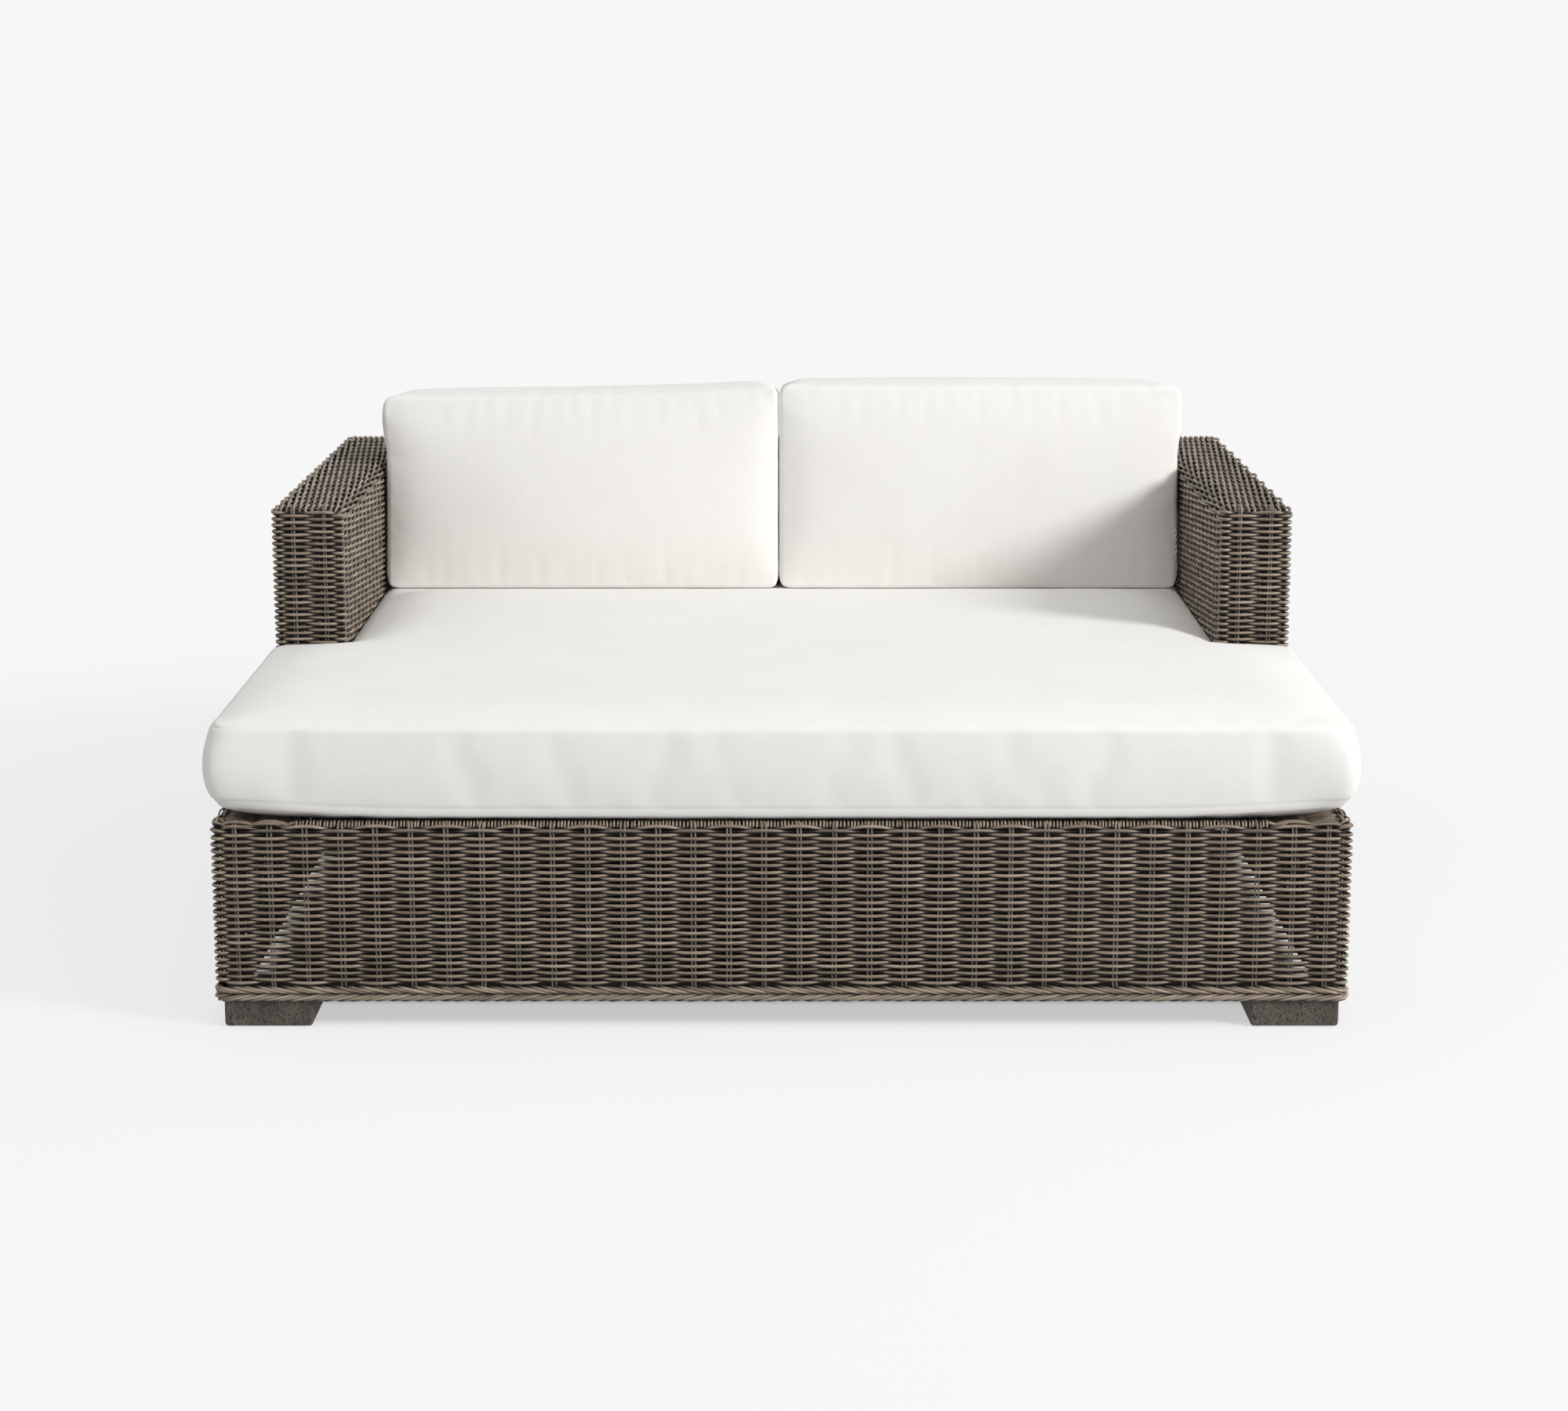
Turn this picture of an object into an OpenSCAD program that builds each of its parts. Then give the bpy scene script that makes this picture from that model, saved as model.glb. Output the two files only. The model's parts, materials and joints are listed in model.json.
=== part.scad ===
// Wicker daybed: a woven base and a three-sided woven surround on welded tube,
// with a T-shaped seat cushion and two back cushions that lift off.
// X is the width, Y runs from the front to the back and Z is up.
// The origin is on the floor, at the middle of the whole daybed.

/* [Overall] */
// Width over the woven sides
overall_w = 1700; // [1500:10:1900]
// Depth from the woven front to the woven back
overall_d = 1670; // [1500:10:1900]
// Height of the arms and the back
arm_top = 688; // [640:1:760]
// Height of the woven deck under the seat cushion
deck_z = 310; // [280:1:340]

/* [Arms and back] */
// Thickness of the arms
arm_t = 124; // [112:1:160]
// Thickness of the back
back_t = 124; // [112:1:160]
// Distance from the woven front to the front of the arms
arm_setback = 670; // [500:5:800]
// Radius of the upright front corners of the base
front_corner_r = 24; // [18:1:40]
// Radius of the upright rear corners
rear_corner_r = 26; // [18:1:28]
// Radius of the upright edges at the front of each arm
arm_corner_r = 18; // [14:1:24]
// Radius of the outer top edge
edge_outer_r = 14; // [13:1:20]
// Radius of the inner top edge
edge_inner_r = 20; // [14:1:26]

/* [Weave] */
// Thickness of the woven skin, over a strand in front and one behind
skin_t = 12; // [10:0.5:13]
// Height of one row of the weave
row_pitch = 5.2; // [4.6:0.1:8]
// How far a strand stands out of the groove beside it
row_bulge = 2.2; // [1:0.1:2.6]
// Faces across one row of a wall
row_faces = 4; // [2:1:6]
// Diameter of an upright stake
stake_d = 4; // [3:0.25:4.5]
// Play between a stake and what it lies against
stake_play = 0.1; // [0.05:0.05:0.3]
// Distance from one pair of stakes to the next
stake_pitch = 52; // [40:1:70]
// Distance between the two stakes of a pair, on centre
pair_gap = 6.5; // [5:0.25:9]
// Distance from a corner to the first pair of stakes
stake_edge = 37; // [30:1:48]
// Height of the plaited border along the bottom
border_h = 26; // [18:1:36]
// How far the two plaits of the border bulge
border_bulge = 5; // [2:0.5:7]

/* [Frame] */
// Width of the square tube
tube = 25; // [20:1:30]
// Wall of the square tube
tube_wall = 2; // [1.5:0.25:3]
// Outer corner radius of the square tube
tube_r = 3; // [2.5:0.25:5]
// Bearers under the deck between the front and the arms
front_bearers = 2; // [1:1:3]
// Bearers under the deck between the arm fronts and the back
rear_bearers = 2; // [1:1:4]

/* [Feet] */
// Width of a foot
foot_w = 133; // [110:1:150]
// Depth of a foot
foot_d = 133; // [110:1:150]
// Height of the woven base above the floor
foot_h = 42; // [36:1:60]
// Distance of a foot from the woven side
foot_inset_x = 13; // [8:1:20]
// Distance of a foot from the woven front or back
foot_inset_y = 10; // [8:1:20]
// Edge radius of a foot
foot_r = 6; // [2:0.5:8]
// Thickness of the glide pad under a foot
glide_t = 2; // [1.5:0.5:3]
// Width of the glide pad
glide_w = 100; // [90:1:105]
// Thickness of the mounting plate over a foot
plate_t = 4; // [3:0.5:6]
// Width of the mounting plate
plate_w = 104; // [100:1:110]
// Diameter of a foot bolt
bolt_d = 8; // [6:0.5:10]
// Diameter of the head of a foot bolt
bolt_head_d = 14; // [12:0.5:16]
// Height of the head of a foot bolt
bolt_head_h = 6; // [4:0.5:8]
// Depth of the counterbore in a foot
counterbore_h = 14; // [10:1:18]
// Clearance round a bolt
bolt_play = 0.3; // [0.2:0.05:0.5]
// Distance from the middle of a foot to a bolt, along X and along Y
bolt_offset = 24; // [18:1:28]

/* [Seat cushion] */
// How far the cushion bulges past the woven side in front of the arms
seat_over = 7; // [2:0.5:10]
// Clearance between the cushion and the arms or the back
seat_play = 2; // [1:0.5:5]
// Clearance between the cushion and the front of the arms
ear_play = 0.6; // [0.4:0.1:3]
// Height of the upper seam above the deck
seam_top = 150; // [130:1:180]
// Height of the lower seam above the deck
seam_bottom = 28; // [15:1:40]
// Clearance under a cushion
rest_play = 0.3; // [0.2:0.05:0.6]
// Crown of the cushion above its upper seam
seat_crown = 22; // [8:1:30]
// Crown that is left where the back cushions press on it
pressed_crown = 5; // [2:1:7]
// How far the boxing bulges past the seams
seat_puff = 7; // [3:0.5:12]
// Distance from a seam to where the crown is full
crown_reach = 130; // [80:5:180]
// Thickness of the cushion cover and its wadding
cover_t = 3; // [2:0.5:5]

/* [Back cushions] */
// Height of a back cushion
back_cushion_h = 366; // [320:1:420]
// Thickness of a back cushion at its seams
back_cushion_t = 262; // [200:1:270]
// Crown of the front and rear faces
back_crown = 35; // [15:1:45]
// Crown of the top face
back_top_crown = 7; // [2:1:12]
// Lean of a back cushion, as the run back for each unit of height
back_lean = 0.12; // [0:0.01:0.15]
// Clearance beside a back cushion
back_play = 0.8; // [0.4:0.1:3]

/* [Zips] */
// Width of the visible zip
zip_w = 8; // [6:0.5:10]
// Length of the zip of the seat cushion
seat_zip_l = 1100; // [900:10:1200]
// Length of the zip of a back cushion
back_zip_l = 520; // [400:10:600]
// Width of the zip teeth
zip_teeth_w = 4; // [3:0.5:5]
// How far the zip teeth stand proud inside the cover's outer face
zip_recess = 0.8; // [0.5:0.1:1.5]
// Length of the zip slider
slider_l = 12; // [8:1:16]

/* [Hidden] */

half_w = overall_w / 2;
half_d = overall_d / 2;
base_bottom = foot_h;
// depth from the crest of the weave to the face of the tube behind it
layer = skin_t + stake_d + 2 * stake_play;
stake_depth = skin_t + stake_play + stake_d / 2;
arm_y = -half_d + arm_setback;
inner_x = half_w - arm_t;
inner_y = half_d - back_t;
rows_z = base_bottom + border_h;
trim_play = 0.8;

// tube places: lower corner of each section
outer_tube_x = half_w - layer - tube;
outer_tube_y = half_d - layer - tube;
inner_tube_x = inner_x + layer;
inner_tube_y = inner_y + layer;
lower_rail_z = base_bottom + plate_t;
upper_rail_z = deck_z - layer - tube;
top_rail_z = arm_top - layer - tube;
arm_post_y = arm_y + layer;

foot_x = half_w - foot_inset_x - foot_w / 2;
foot_y = half_d - foot_inset_y - foot_d / 2;
plate_x = half_w - layer - plate_w / 2;
plate_y = half_d - layer - plate_w / 2;

// seat cushion
seat_hw = half_w + seat_over;
seat_rear_hw = inner_x - seat_play;
seat_y0 = -half_d;
seat_y1 = inner_y - seat_play;
ear_y = arm_y - ear_play;
seat_z0 = deck_z + rest_play;
seat_zb = deck_z + seam_bottom;
seat_zt = deck_z + seam_top;
// the ears end this far ahead of the notch, and the pressed zone starts this far ahead of the back cushions
ear_slope = 10;
ear_band = 40;
press_run = 90;
cap_inset = 26;

// back cushions
back_z0 = seat_zt + pressed_crown + rest_play;
back_z1 = back_z0 + back_cushion_h;
back_hw = inner_x / 2 - back_play;
// the rear crown meets the back's inner face at the height of the arms
back_y0 = inner_y - seat_play - back_crown - back_cushion_t - back_lean * (arm_top - edge_inner_r - back_z0);
press_y = back_y0 - back_crown;

weave_colour = [0.42, 0.37, 0.31];
stake_colour = [0.36, 0.31, 0.26];
tube_colour = [0.24, 0.21, 0.18];
foot_colour = [0.27, 0.24, 0.21];
steel_colour = [0.66, 0.67, 0.68];
glide_colour = [0.12, 0.12, 0.12];
cover_colour = [0.93, 0.92, 0.90];
core_colour = [0.95, 0.90, 0.72];
zip_colour = [0.80, 0.79, 0.77];

// Even places from a to b with a step close to the pitch
function places(a, b, pitch) =
  let (n = max(1, round((b - a) / pitch)))
  [for (k = [0:n]) a + (b - a) * k / n];

// Places of every stake from a to b, two for each pair
function stake_places(a, b) =
  [for (c = places(a, b, stake_pitch)) for (s = [-1, 1]) c + s * pair_gap / 2];

// Scalloped face of a wall: depth over the flat back, then height
function row_points(z0, z1, faces) =
  let (steps = max(1, round((z1 - z0) / row_pitch)) * faces)
  [for (k = [0:steps])
    [skin_t - row_bulge * (1 - sin(180 * (k % faces) / faces)), z0 + (z1 - z0) * k / steps]];

function wall_profile(z0, z1, faces) = concat([[0, z0]], row_points(z0, z1, faces), [[0, z1]]);

// The border is two half-round plaits, one over the other
function border_profile(z0, z1) =
  concat(
    [[0, z0]],
    [for (k = [0:12])
      [skin_t - border_bulge * (1 - sin(180 * (k % 6) / 6)), z0 + (z1 - z0) * k / 12]],
    [[0, z1]]);

module wall_along_x(x0, x1, y_crest, out, profile) {
  translate([x0, y_crest, 0])
    rotate([90, 0, 90])
      linear_extrude(x1 - x0)
        polygon([for (p = profile) [out * (p[0] - skin_t), p[1]]]);
}

module wall_along_y(y0, y1, x_crest, out, profile) {
  translate([x_crest, y1, 0])
    rotate([90, 0, 0])
      linear_extrude(y1 - y0)
        polygon([for (p = profile) [out * (p[0] - skin_t), p[1]]]);
}

module wall_corner(cx, cy, r, start, profile) {
  translate([cx, cy, 0])
    rotate([0, 0, start])
      rotate_extrude(angle = 90, $fn = 48)
        polygon([for (p = profile) [r - skin_t + p[0], p[1]]]);
}

// A front or back wall with its two upright corners; side is -1 at the front and 1 at the back
module cornered_wall(side, r, profile) {
  wall_along_x(-half_w + r, half_w - r, side * half_d, side, profile);
  wall_corner(-half_w + r, side * (half_d - r), r, side < 0 ? 180 : 90, profile);
  wall_corner(half_w - r, side * (half_d - r), r, side < 0 ? 270 : 0, profile);
}

// Point and outward direction on a top edge path: outer radius, flat, inner radius
function arch_point(w, ro, ri, s) =
  let (l1 = ro * PI / 2, l2 = w - ro - ri, l3 = ri * PI / 2)
  s < l1 ? let (a = 180 - 90 * s / l1) [ro + ro * cos(a), -ro + ro * sin(a), cos(a), sin(a)]
  : s <= l1 + l2 ? [ro + s - l1, 0, 0, 1]
  : let (a = 90 - 90 * (s - l1 - l2) / l3) [w - ri + ri * cos(a), -ri + ri * sin(a), cos(a), sin(a)];

function arch_outer(w, ro, ri, bulge) =
  let (
    total = (ro + ri) * PI / 2 + w - ro - ri,
    steps = max(1, round(total / row_pitch)) * row_faces)
  [for (k = [0:steps])
    let (q = arch_point(w, ro, ri, total * k / steps), d = -bulge * (1 - sin(180 * (k % row_faces) / row_faces)))
    [q[0] + q[2] * d, q[1] + q[3] * d]];

function arch_inner(w, ro, ri) =
  concat(
    [for (a = [0:22.5:90]) [w - ri + (ri - skin_t) * cos(a), -ri + (ri - skin_t) * sin(a)]],
    [for (a = [90:22.5:180]) [ro + (ro - skin_t) * cos(a), -ro + (ro - skin_t) * sin(a)]]);

// Section of a woven top, from its outer edge at 0 to its inner edge at w
function arch_profile(w, ro, ri) = concat(arch_outer(w, ro, ri, row_bulge), arch_inner(w, ro, ri));

// Plain outline of a top, down to z0, that trims the wall below it a little outside its crests
module arch_trim(w, ro, ri, z0) {
  polygon(concat(
    [[-trim_play, z0]],
    [for (a = [180:-15:90]) [ro + (ro + trim_play) * cos(a), -ro + (ro + trim_play) * sin(a)]],
    [for (a = [90:-15:0]) [w - ri + (ri + trim_play) * cos(a), -ri + (ri + trim_play) * sin(a)]],
    [[w + trim_play, z0]]));
}

// Square tube section with its lower left corner at the origin
module rounded_square(s, r) {
  translate([r, 0])
    square([s - 2 * r, s]);
  translate([0, r])
    square([s, s - 2 * r]);
  for (x = [r, s - r]) {
    for (y = [r, s - r]) {
      translate([x, y])
        circle(r = r, $fn = 24);
    }
  }
}

module tube_section() {
  difference() {
    rounded_square(tube, tube_r);
    translate([tube_wall, tube_wall])
      rounded_square(tube - 2 * tube_wall, tube_r - tube_wall);
  }
}

module tube_x(x0, x1, y, z) {
  translate([x0, y, z])
    rotate([90, 0, 90])
      linear_extrude(x1 - x0)
        tube_section();
}

module tube_y(y0, y1, x, z) {
  translate([x, y1, z])
    rotate([90, 0, 0])
      linear_extrude(y1 - y0)
        tube_section();
}

module tube_z(z0, z1, x, y) {
  translate([x, y, z0])
    linear_extrude(z1 - z0)
      tube_section();
}

// Frame

module base_rail_x(y, z) {
  color(tube_colour)
    tube_x(-outer_tube_x, outer_tube_x, y, z);
}

module base_rail_y(x, z) {
  color(tube_colour)
    tube_y(-outer_tube_y, outer_tube_y, x, z);
}

module base_lower_rail_front() {
  base_rail_x(-outer_tube_y - tube, lower_rail_z);
}

module base_lower_rail_back() {
  base_rail_x(outer_tube_y, lower_rail_z);
}

module base_lower_rail_left() {
  base_rail_y(-outer_tube_x - tube, lower_rail_z);
}

module base_lower_rail_right() {
  base_rail_y(outer_tube_x, lower_rail_z);
}

module base_upper_rail_front() {
  base_rail_x(-outer_tube_y - tube, upper_rail_z);
}

module base_upper_rail_back() {
  base_rail_x(outer_tube_y, upper_rail_z);
}

module base_upper_rail_left() {
  base_rail_y(-outer_tube_x - tube, upper_rail_z);
}

module base_upper_rail_right() {
  base_rail_y(outer_tube_x, upper_rail_z);
}

// Four posts at the corners: the front pair ends under the deck, the rear pair carries the surround
module corner_posts() {
  color(tube_colour) {
    for (x = [-outer_tube_x - tube, outer_tube_x]) {
      tube_z(lower_rail_z, upper_rail_z + tube, x, -outer_tube_y - tube);
      tube_z(lower_rail_z, top_rail_z + tube, x, outer_tube_y);
    }
  }
}

module inner_base_rails() {
  color(tube_colour) {
    for (x = [-inner_tube_x - tube, inner_tube_x]) {
      tube_y(-outer_tube_y, outer_tube_y, x, upper_rail_z);
    }
  }
}

bearer_places = concat(
  [for (k = [1:front_bearers])
    -outer_tube_y + (arm_post_y + outer_tube_y) * k / (front_bearers + 1)],
  [arm_post_y],
  [for (k = [1:rear_bearers]) arm_post_y + (inner_tube_y - arm_post_y) * k / (rear_bearers + 1)],
  [inner_tube_y]);

module deck_bearers() {
  color(tube_colour) {
    for (y = bearer_places) {
      tube_x(-inner_tube_x, inner_tube_x, y, upper_rail_z);
    }
  }
}

// At each arm front an outer and an inner post stand on the base, over a short post at the outer side
module arm_posts() {
  color(tube_colour) {
    for (x = [-outer_tube_x - tube, outer_tube_x]) {
      tube_z(lower_rail_z + tube, upper_rail_z, x, arm_post_y);
      tube_z(upper_rail_z + tube, top_rail_z, x, arm_post_y);
    }
    for (x = [-inner_tube_x - tube, inner_tube_x]) {
      tube_z(upper_rail_z + tube, top_rail_z, x, arm_post_y);
    }
  }
}

// The two top rails of the right arm and the tie across their front ends
module arm_top_rails() {
  color(tube_colour) {
    tube_y(arm_post_y, outer_tube_y, outer_tube_x, top_rail_z);
    tube_y(arm_post_y, outer_tube_y, inner_tube_x, top_rail_z);
    tube_x(inner_tube_x + tube, outer_tube_x, arm_post_y, top_rail_z);
  }
}

module arm_right_top_rails() {
  arm_top_rails();
}

module arm_left_top_rails() {
  mirror([1, 0, 0])
    arm_top_rails();
}

module back_top_rails() {
  color(tube_colour) {
    tube_x(-outer_tube_x, outer_tube_x, outer_tube_y, top_rail_z);
    tube_x(-inner_tube_x, inner_tube_x, inner_tube_y, top_rail_z);
  }
}

module back_posts() {
  color(tube_colour) {
    for (x = [-inner_tube_x - tube, -tube / 2, inner_tube_x]) {
      tube_z(upper_rail_z + tube, top_rail_z, x, inner_tube_y);
    }
    tube_z(upper_rail_z + tube, top_rail_z, -tube / 2, outer_tube_y);
    tube_z(lower_rail_z + tube, upper_rail_z, -tube / 2, outer_tube_y);
  }
}

// Woven skins

module base_front_weave() {
  color(weave_colour)
    cornered_wall(-1, front_corner_r, wall_profile(rows_z, deck_z, row_faces));
}

module base_back_weave() {
  color(weave_colour)
    cornered_wall(1, rear_corner_r, wall_profile(rows_z, deck_z, row_faces));
}

module base_side_weave(side) {
  color(weave_colour)
    wall_along_y(-half_d + front_corner_r, half_d - rear_corner_r, side * half_w, side,
      wall_profile(rows_z, deck_z, row_faces));
}

module base_left_weave() {
  base_side_weave(-1);
}

module base_right_weave() {
  base_side_weave(1);
}

module border_front() {
  color(weave_colour)
    cornered_wall(-1, front_corner_r, border_profile(base_bottom, rows_z));
}

module border_back() {
  color(weave_colour)
    cornered_wall(1, rear_corner_r, border_profile(base_bottom, rows_z));
}

module border_side(side) {
  color(weave_colour)
    wall_along_y(-half_d + front_corner_r, half_d - rear_corner_r, side * half_w, side,
      border_profile(base_bottom, rows_z));
}

module border_left() {
  border_side(-1);
}

module border_right() {
  border_side(1);
}

module arm_outer_weave(side) {
  color(weave_colour)
    wall_along_y(arm_y + arm_corner_r, half_d - rear_corner_r, side * half_w, side,
      wall_profile(deck_z, arm_top - edge_outer_r, row_faces));
}

module arm_left_outer_weave() {
  arm_outer_weave(-1);
}

module arm_right_outer_weave() {
  arm_outer_weave(1);
}

module back_outer_weave() {
  color(weave_colour)
    cornered_wall(1, rear_corner_r, wall_profile(deck_z, arm_top - edge_outer_r, row_faces));
}

module arm_inner_weave(side) {
  color(weave_colour)
    wall_along_y(arm_y + arm_corner_r, inner_y, side * inner_x, -side,
      wall_profile(deck_z, arm_top - edge_inner_r, row_faces));
}

module arm_left_inner_weave() {
  arm_inner_weave(-1);
}

module arm_right_inner_weave() {
  arm_inner_weave(1);
}

module back_inner_weave() {
  color(weave_colour)
    wall_along_x(-inner_x - skin_t, inner_x + skin_t, inner_y, -1,
      wall_profile(deck_z, arm_top - edge_inner_r, row_faces));
}

// Front face of the right arm, rounded into both sides and trimmed to the top's outline
module arm_front_weave() {
  profile = wall_profile(deck_z, arm_top, row_faces);
  color(weave_colour)
    intersection() {
      union() {
        wall_along_x(inner_x + arm_corner_r, half_w - arm_corner_r, arm_y, -1, profile);
        wall_corner(inner_x + arm_corner_r, arm_y + arm_corner_r, arm_corner_r, 180, profile);
        wall_corner(half_w - arm_corner_r, arm_y + arm_corner_r, arm_corner_r, 270, profile);
      }
      translate([half_w, arm_y + 2 * arm_corner_r, arm_top])
        rotate([90, 0, 0])
          linear_extrude(3 * arm_corner_r)
            mirror([1, 0])
              arch_trim(arm_t, edge_outer_r, edge_inner_r, deck_z - arm_top - 1);
    }
}

module arm_right_front_weave() {
  arm_front_weave();
}

module arm_left_front_weave() {
  mirror([1, 0, 0])
    arm_front_weave();
}

// Top of the right arm: its strands run from the front to the rear edge
module arm_top_weave() {
  color(weave_colour)
    intersection() {
      union() {
        translate([half_w, inner_y, arm_top])
          rotate([90, 0, 0])
            linear_extrude(inner_y - arm_y - arm_corner_r)
              mirror([1, 0])
                polygon(arch_profile(arm_t, edge_outer_r, edge_inner_r));
        translate([half_w, half_d, arm_top])
          rotate([90, 0, 0])
            linear_extrude(back_t)
              mirror([1, 0])
                polygon(corner_top_profile());
      }
      rear_plan_block();
    }
}

// Over the rear corner the top stays flat to the inner side
function corner_top_profile() =
  concat(
    [for (p = arch_outer(arm_t, edge_outer_r, edge_inner_r, row_bulge)) if (p[0] < arm_t - edge_inner_r) p],
    [[arm_t, -row_bulge], [arm_t, -skin_t]],
    [for (a = [90:22.5:180])
      [edge_outer_r + (edge_outer_r - skin_t) * cos(a), -edge_outer_r + (edge_outer_r - skin_t) * sin(a)]]);

// Plan of the daybed with its rounded rear corner, for trimming the right arm's top
module rear_plan_block() {
  depth = 2 * edge_outer_r;
  translate([0, 0, arm_top - depth])
    linear_extrude(depth + 1) {
      translate([0, -half_d])
        square([half_w - rear_corner_r, overall_d]);
      translate([half_w - rear_corner_r, -half_d])
        square([rear_corner_r, overall_d - rear_corner_r]);
      translate([half_w - rear_corner_r, half_d - rear_corner_r])
        circle(r = rear_corner_r, $fn = 48);
    }
}

module arm_right_top_weave() {
  arm_top_weave();
}

module arm_left_top_weave() {
  mirror([1, 0, 0])
    arm_top_weave();
}

module back_top_weave() {
  color(weave_colour)
    translate([-inner_x, half_d, arm_top])
      rotate([90, 0, 90])
        linear_extrude(2 * inner_x)
          mirror([1, 0])
            polygon(arch_profile(back_t, edge_outer_r, edge_inner_r));
}

// Deck: strands run from the front to the back, with ridges of two faces each
module deck_weave() {
  color(weave_colour)
    translate([0, inner_y, deck_z])
      rotate([90, 0, 0])
        linear_extrude(inner_y + half_d - skin_t)
          polygon([for (p = wall_profile(-inner_x, inner_x, 2)) [p[1], p[0] - skin_t]]);
}

// Ledge beside the deck, in front of the right arm: strands run across
module ledge_weave() {
  color(weave_colour)
    intersection() {
      translate([inner_x, 0, deck_z])
        rotate([90, 0, 90])
          linear_extrude(arm_t - skin_t)
            polygon([for (p = wall_profile(-half_d + skin_t, arm_y + skin_t, 2)) [p[1], p[0] - skin_t]]);
      ledge_plan_block();
    }
}

// Plan of the right ledge, rounded inside the front corner of the base
module ledge_plan_block() {
  r = front_corner_r - skin_t;
  corner_x = half_w - front_corner_r;
  corner_y = -half_d + front_corner_r;
  translate([0, 0, deck_z - skin_t - 1])
    linear_extrude(skin_t + 2) {
      translate([0, -half_d + skin_t])
        square([corner_x, overall_d]);
      translate([corner_x, corner_y])
        square([r, overall_d]);
      translate([corner_x, corner_y])
        circle(r = r, $fn = 48);
    }
}

module ledge_right_weave() {
  ledge_weave();
}

module ledge_left_weave() {
  mirror([1, 0, 0])
    ledge_weave();
}

// Stakes

module stake(from, to) {
  length = norm(to - from);
  turn = to[0] != from[0] ? [0, 90, 0] : to[1] != from[1] ? [-90, 0, 0] : [0, 0, 0];
  translate(from)
    rotate(turn)
      cylinder(d = stake_d, h = length, $fn = 16);
}

stake_top_low = upper_rail_z + tube;
// the stakes of the arms and the back end below the rounding of the tops
stake_top_outer = min(top_rail_z + tube, arm_top - edge_outer_r);
stake_top_inner = min(top_rail_z + tube, arm_top - edge_inner_r);
// the cross stakes of the tops run from the inner rounding to the outer one
top_stake_inner = max(layer, edge_inner_r + stake_play);
top_stake_outer = max(layer, edge_outer_r + stake_play);

module front_stakes() {
  color(stake_colour)
    for (x = stake_places(-half_w + stake_edge, half_w - stake_edge)) {
      stake([x, -half_d + stake_depth, lower_rail_z], [x, -half_d + stake_depth, stake_top_low]);
    }
}

module back_stakes() {
  color(stake_colour)
    for (x = stake_places(-half_w + stake_edge, half_w - stake_edge)) {
      stake([x, half_d - stake_depth, lower_rail_z], [x, half_d - stake_depth, stake_top_outer]);
    }
}

module side_stakes() {
  color(stake_colour)
    for (y = stake_places(-half_d + stake_edge, half_d - stake_edge), side = [-1, 1]) {
      top = y > arm_y + layer ? stake_top_outer : stake_top_low;
      stake([side * (half_w - stake_depth), y, lower_rail_z], [side * (half_w - stake_depth), y, top]);
    }
}

// Stakes behind the inner faces of the arms and of the back
module inner_stakes() {
  color(stake_colour) {
    for (y = stake_places(-half_d + stake_edge, half_d - stake_edge), side = [-1, 1]) {
      x = side * (inner_x + stake_depth);
      if (y > arm_y + layer && y < inner_y - stake_d) {
        stake([x, y, deck_z], [x, y, stake_top_inner]);
      }
    }
    for (x = stake_places(-half_w + stake_edge, half_w - stake_edge)) {
      if (abs(x) < inner_x - stake_d) {
        stake([x, inner_y + stake_depth, deck_z], [x, inner_y + stake_depth, stake_top_inner]);
      }
    }
  }
}

// Cross stakes under the deck, and the corner pair that runs on under each ledge
module deck_stakes() {
  z = deck_z - stake_depth;
  color(stake_colour) {
    for (y = stake_places(-half_d + stake_edge, inner_y - stake_edge)) {
      stake([-inner_tube_x - tube, y, z], [inner_tube_x + tube, y, z]);
    }
    for (s = [-1, 1], side = [-1, 1]) {
      x = side * (half_w - stake_edge) + s * pair_gap / 2;
      stake([x, -half_d + layer, z], [x, arm_y, z]);
    }
  }
}

// Cross stakes under the woven tops of the arms and of the back
module top_stakes() {
  z = arm_top - stake_depth;
  color(stake_colour) {
    for (y = stake_places(-half_d + stake_edge, half_d - stake_edge), side = [-1, 1]) {
      if (y > arm_y + layer && y < inner_y - stake_d) {
        near = inner_x + top_stake_inner;
        far = half_w - top_stake_outer;
        stake([side > 0 ? near : -far, y, z], [side > 0 ? far : -near, y, z]);
      }
    }
    for (x = stake_places(-half_w + stake_edge, half_w - stake_edge)) {
      if (abs(x) < inner_x - stake_d) {
        stake([x, inner_y + top_stake_inner, z], [x, half_d - top_stake_outer, z]);
      }
    }
  }
}

// Feet

bolt_places = [[-bolt_offset, bolt_offset], [bolt_offset, -bolt_offset]];

// One foot, round its own middle and standing on its glide
module foot_block() {
  difference() {
    intersection() {
      translate([-foot_w / 2, -foot_d / 2, glide_t])
        linear_extrude(foot_h - glide_t)
          foot_plan();
      translate([-foot_w / 2, foot_d / 2 + 1, glide_t])
        rotate([90, 0, 0])
          linear_extrude(foot_d + 2)
            foot_front();
    }
    for (p = bolt_places) {
      translate([p[0], p[1], 0])
        cylinder(d = bolt_head_d + 4 * bolt_play, h = glide_t + counterbore_h, $fn = 32);
      translate([p[0], p[1], 0])
        cylinder(d = bolt_d + 2 * bolt_play, h = foot_h + 1, $fn = 32);
    }
  }
}

module foot_plan() {
  translate([foot_r, 0])
    square([foot_w - 2 * foot_r, foot_d]);
  translate([0, foot_r])
    square([foot_w, foot_d - 2 * foot_r]);
  for (x = [foot_r, foot_w - foot_r], y = [foot_r, foot_d - foot_r]) {
    translate([x, y])
      circle(r = foot_r, $fn = 24);
  }
}

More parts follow.
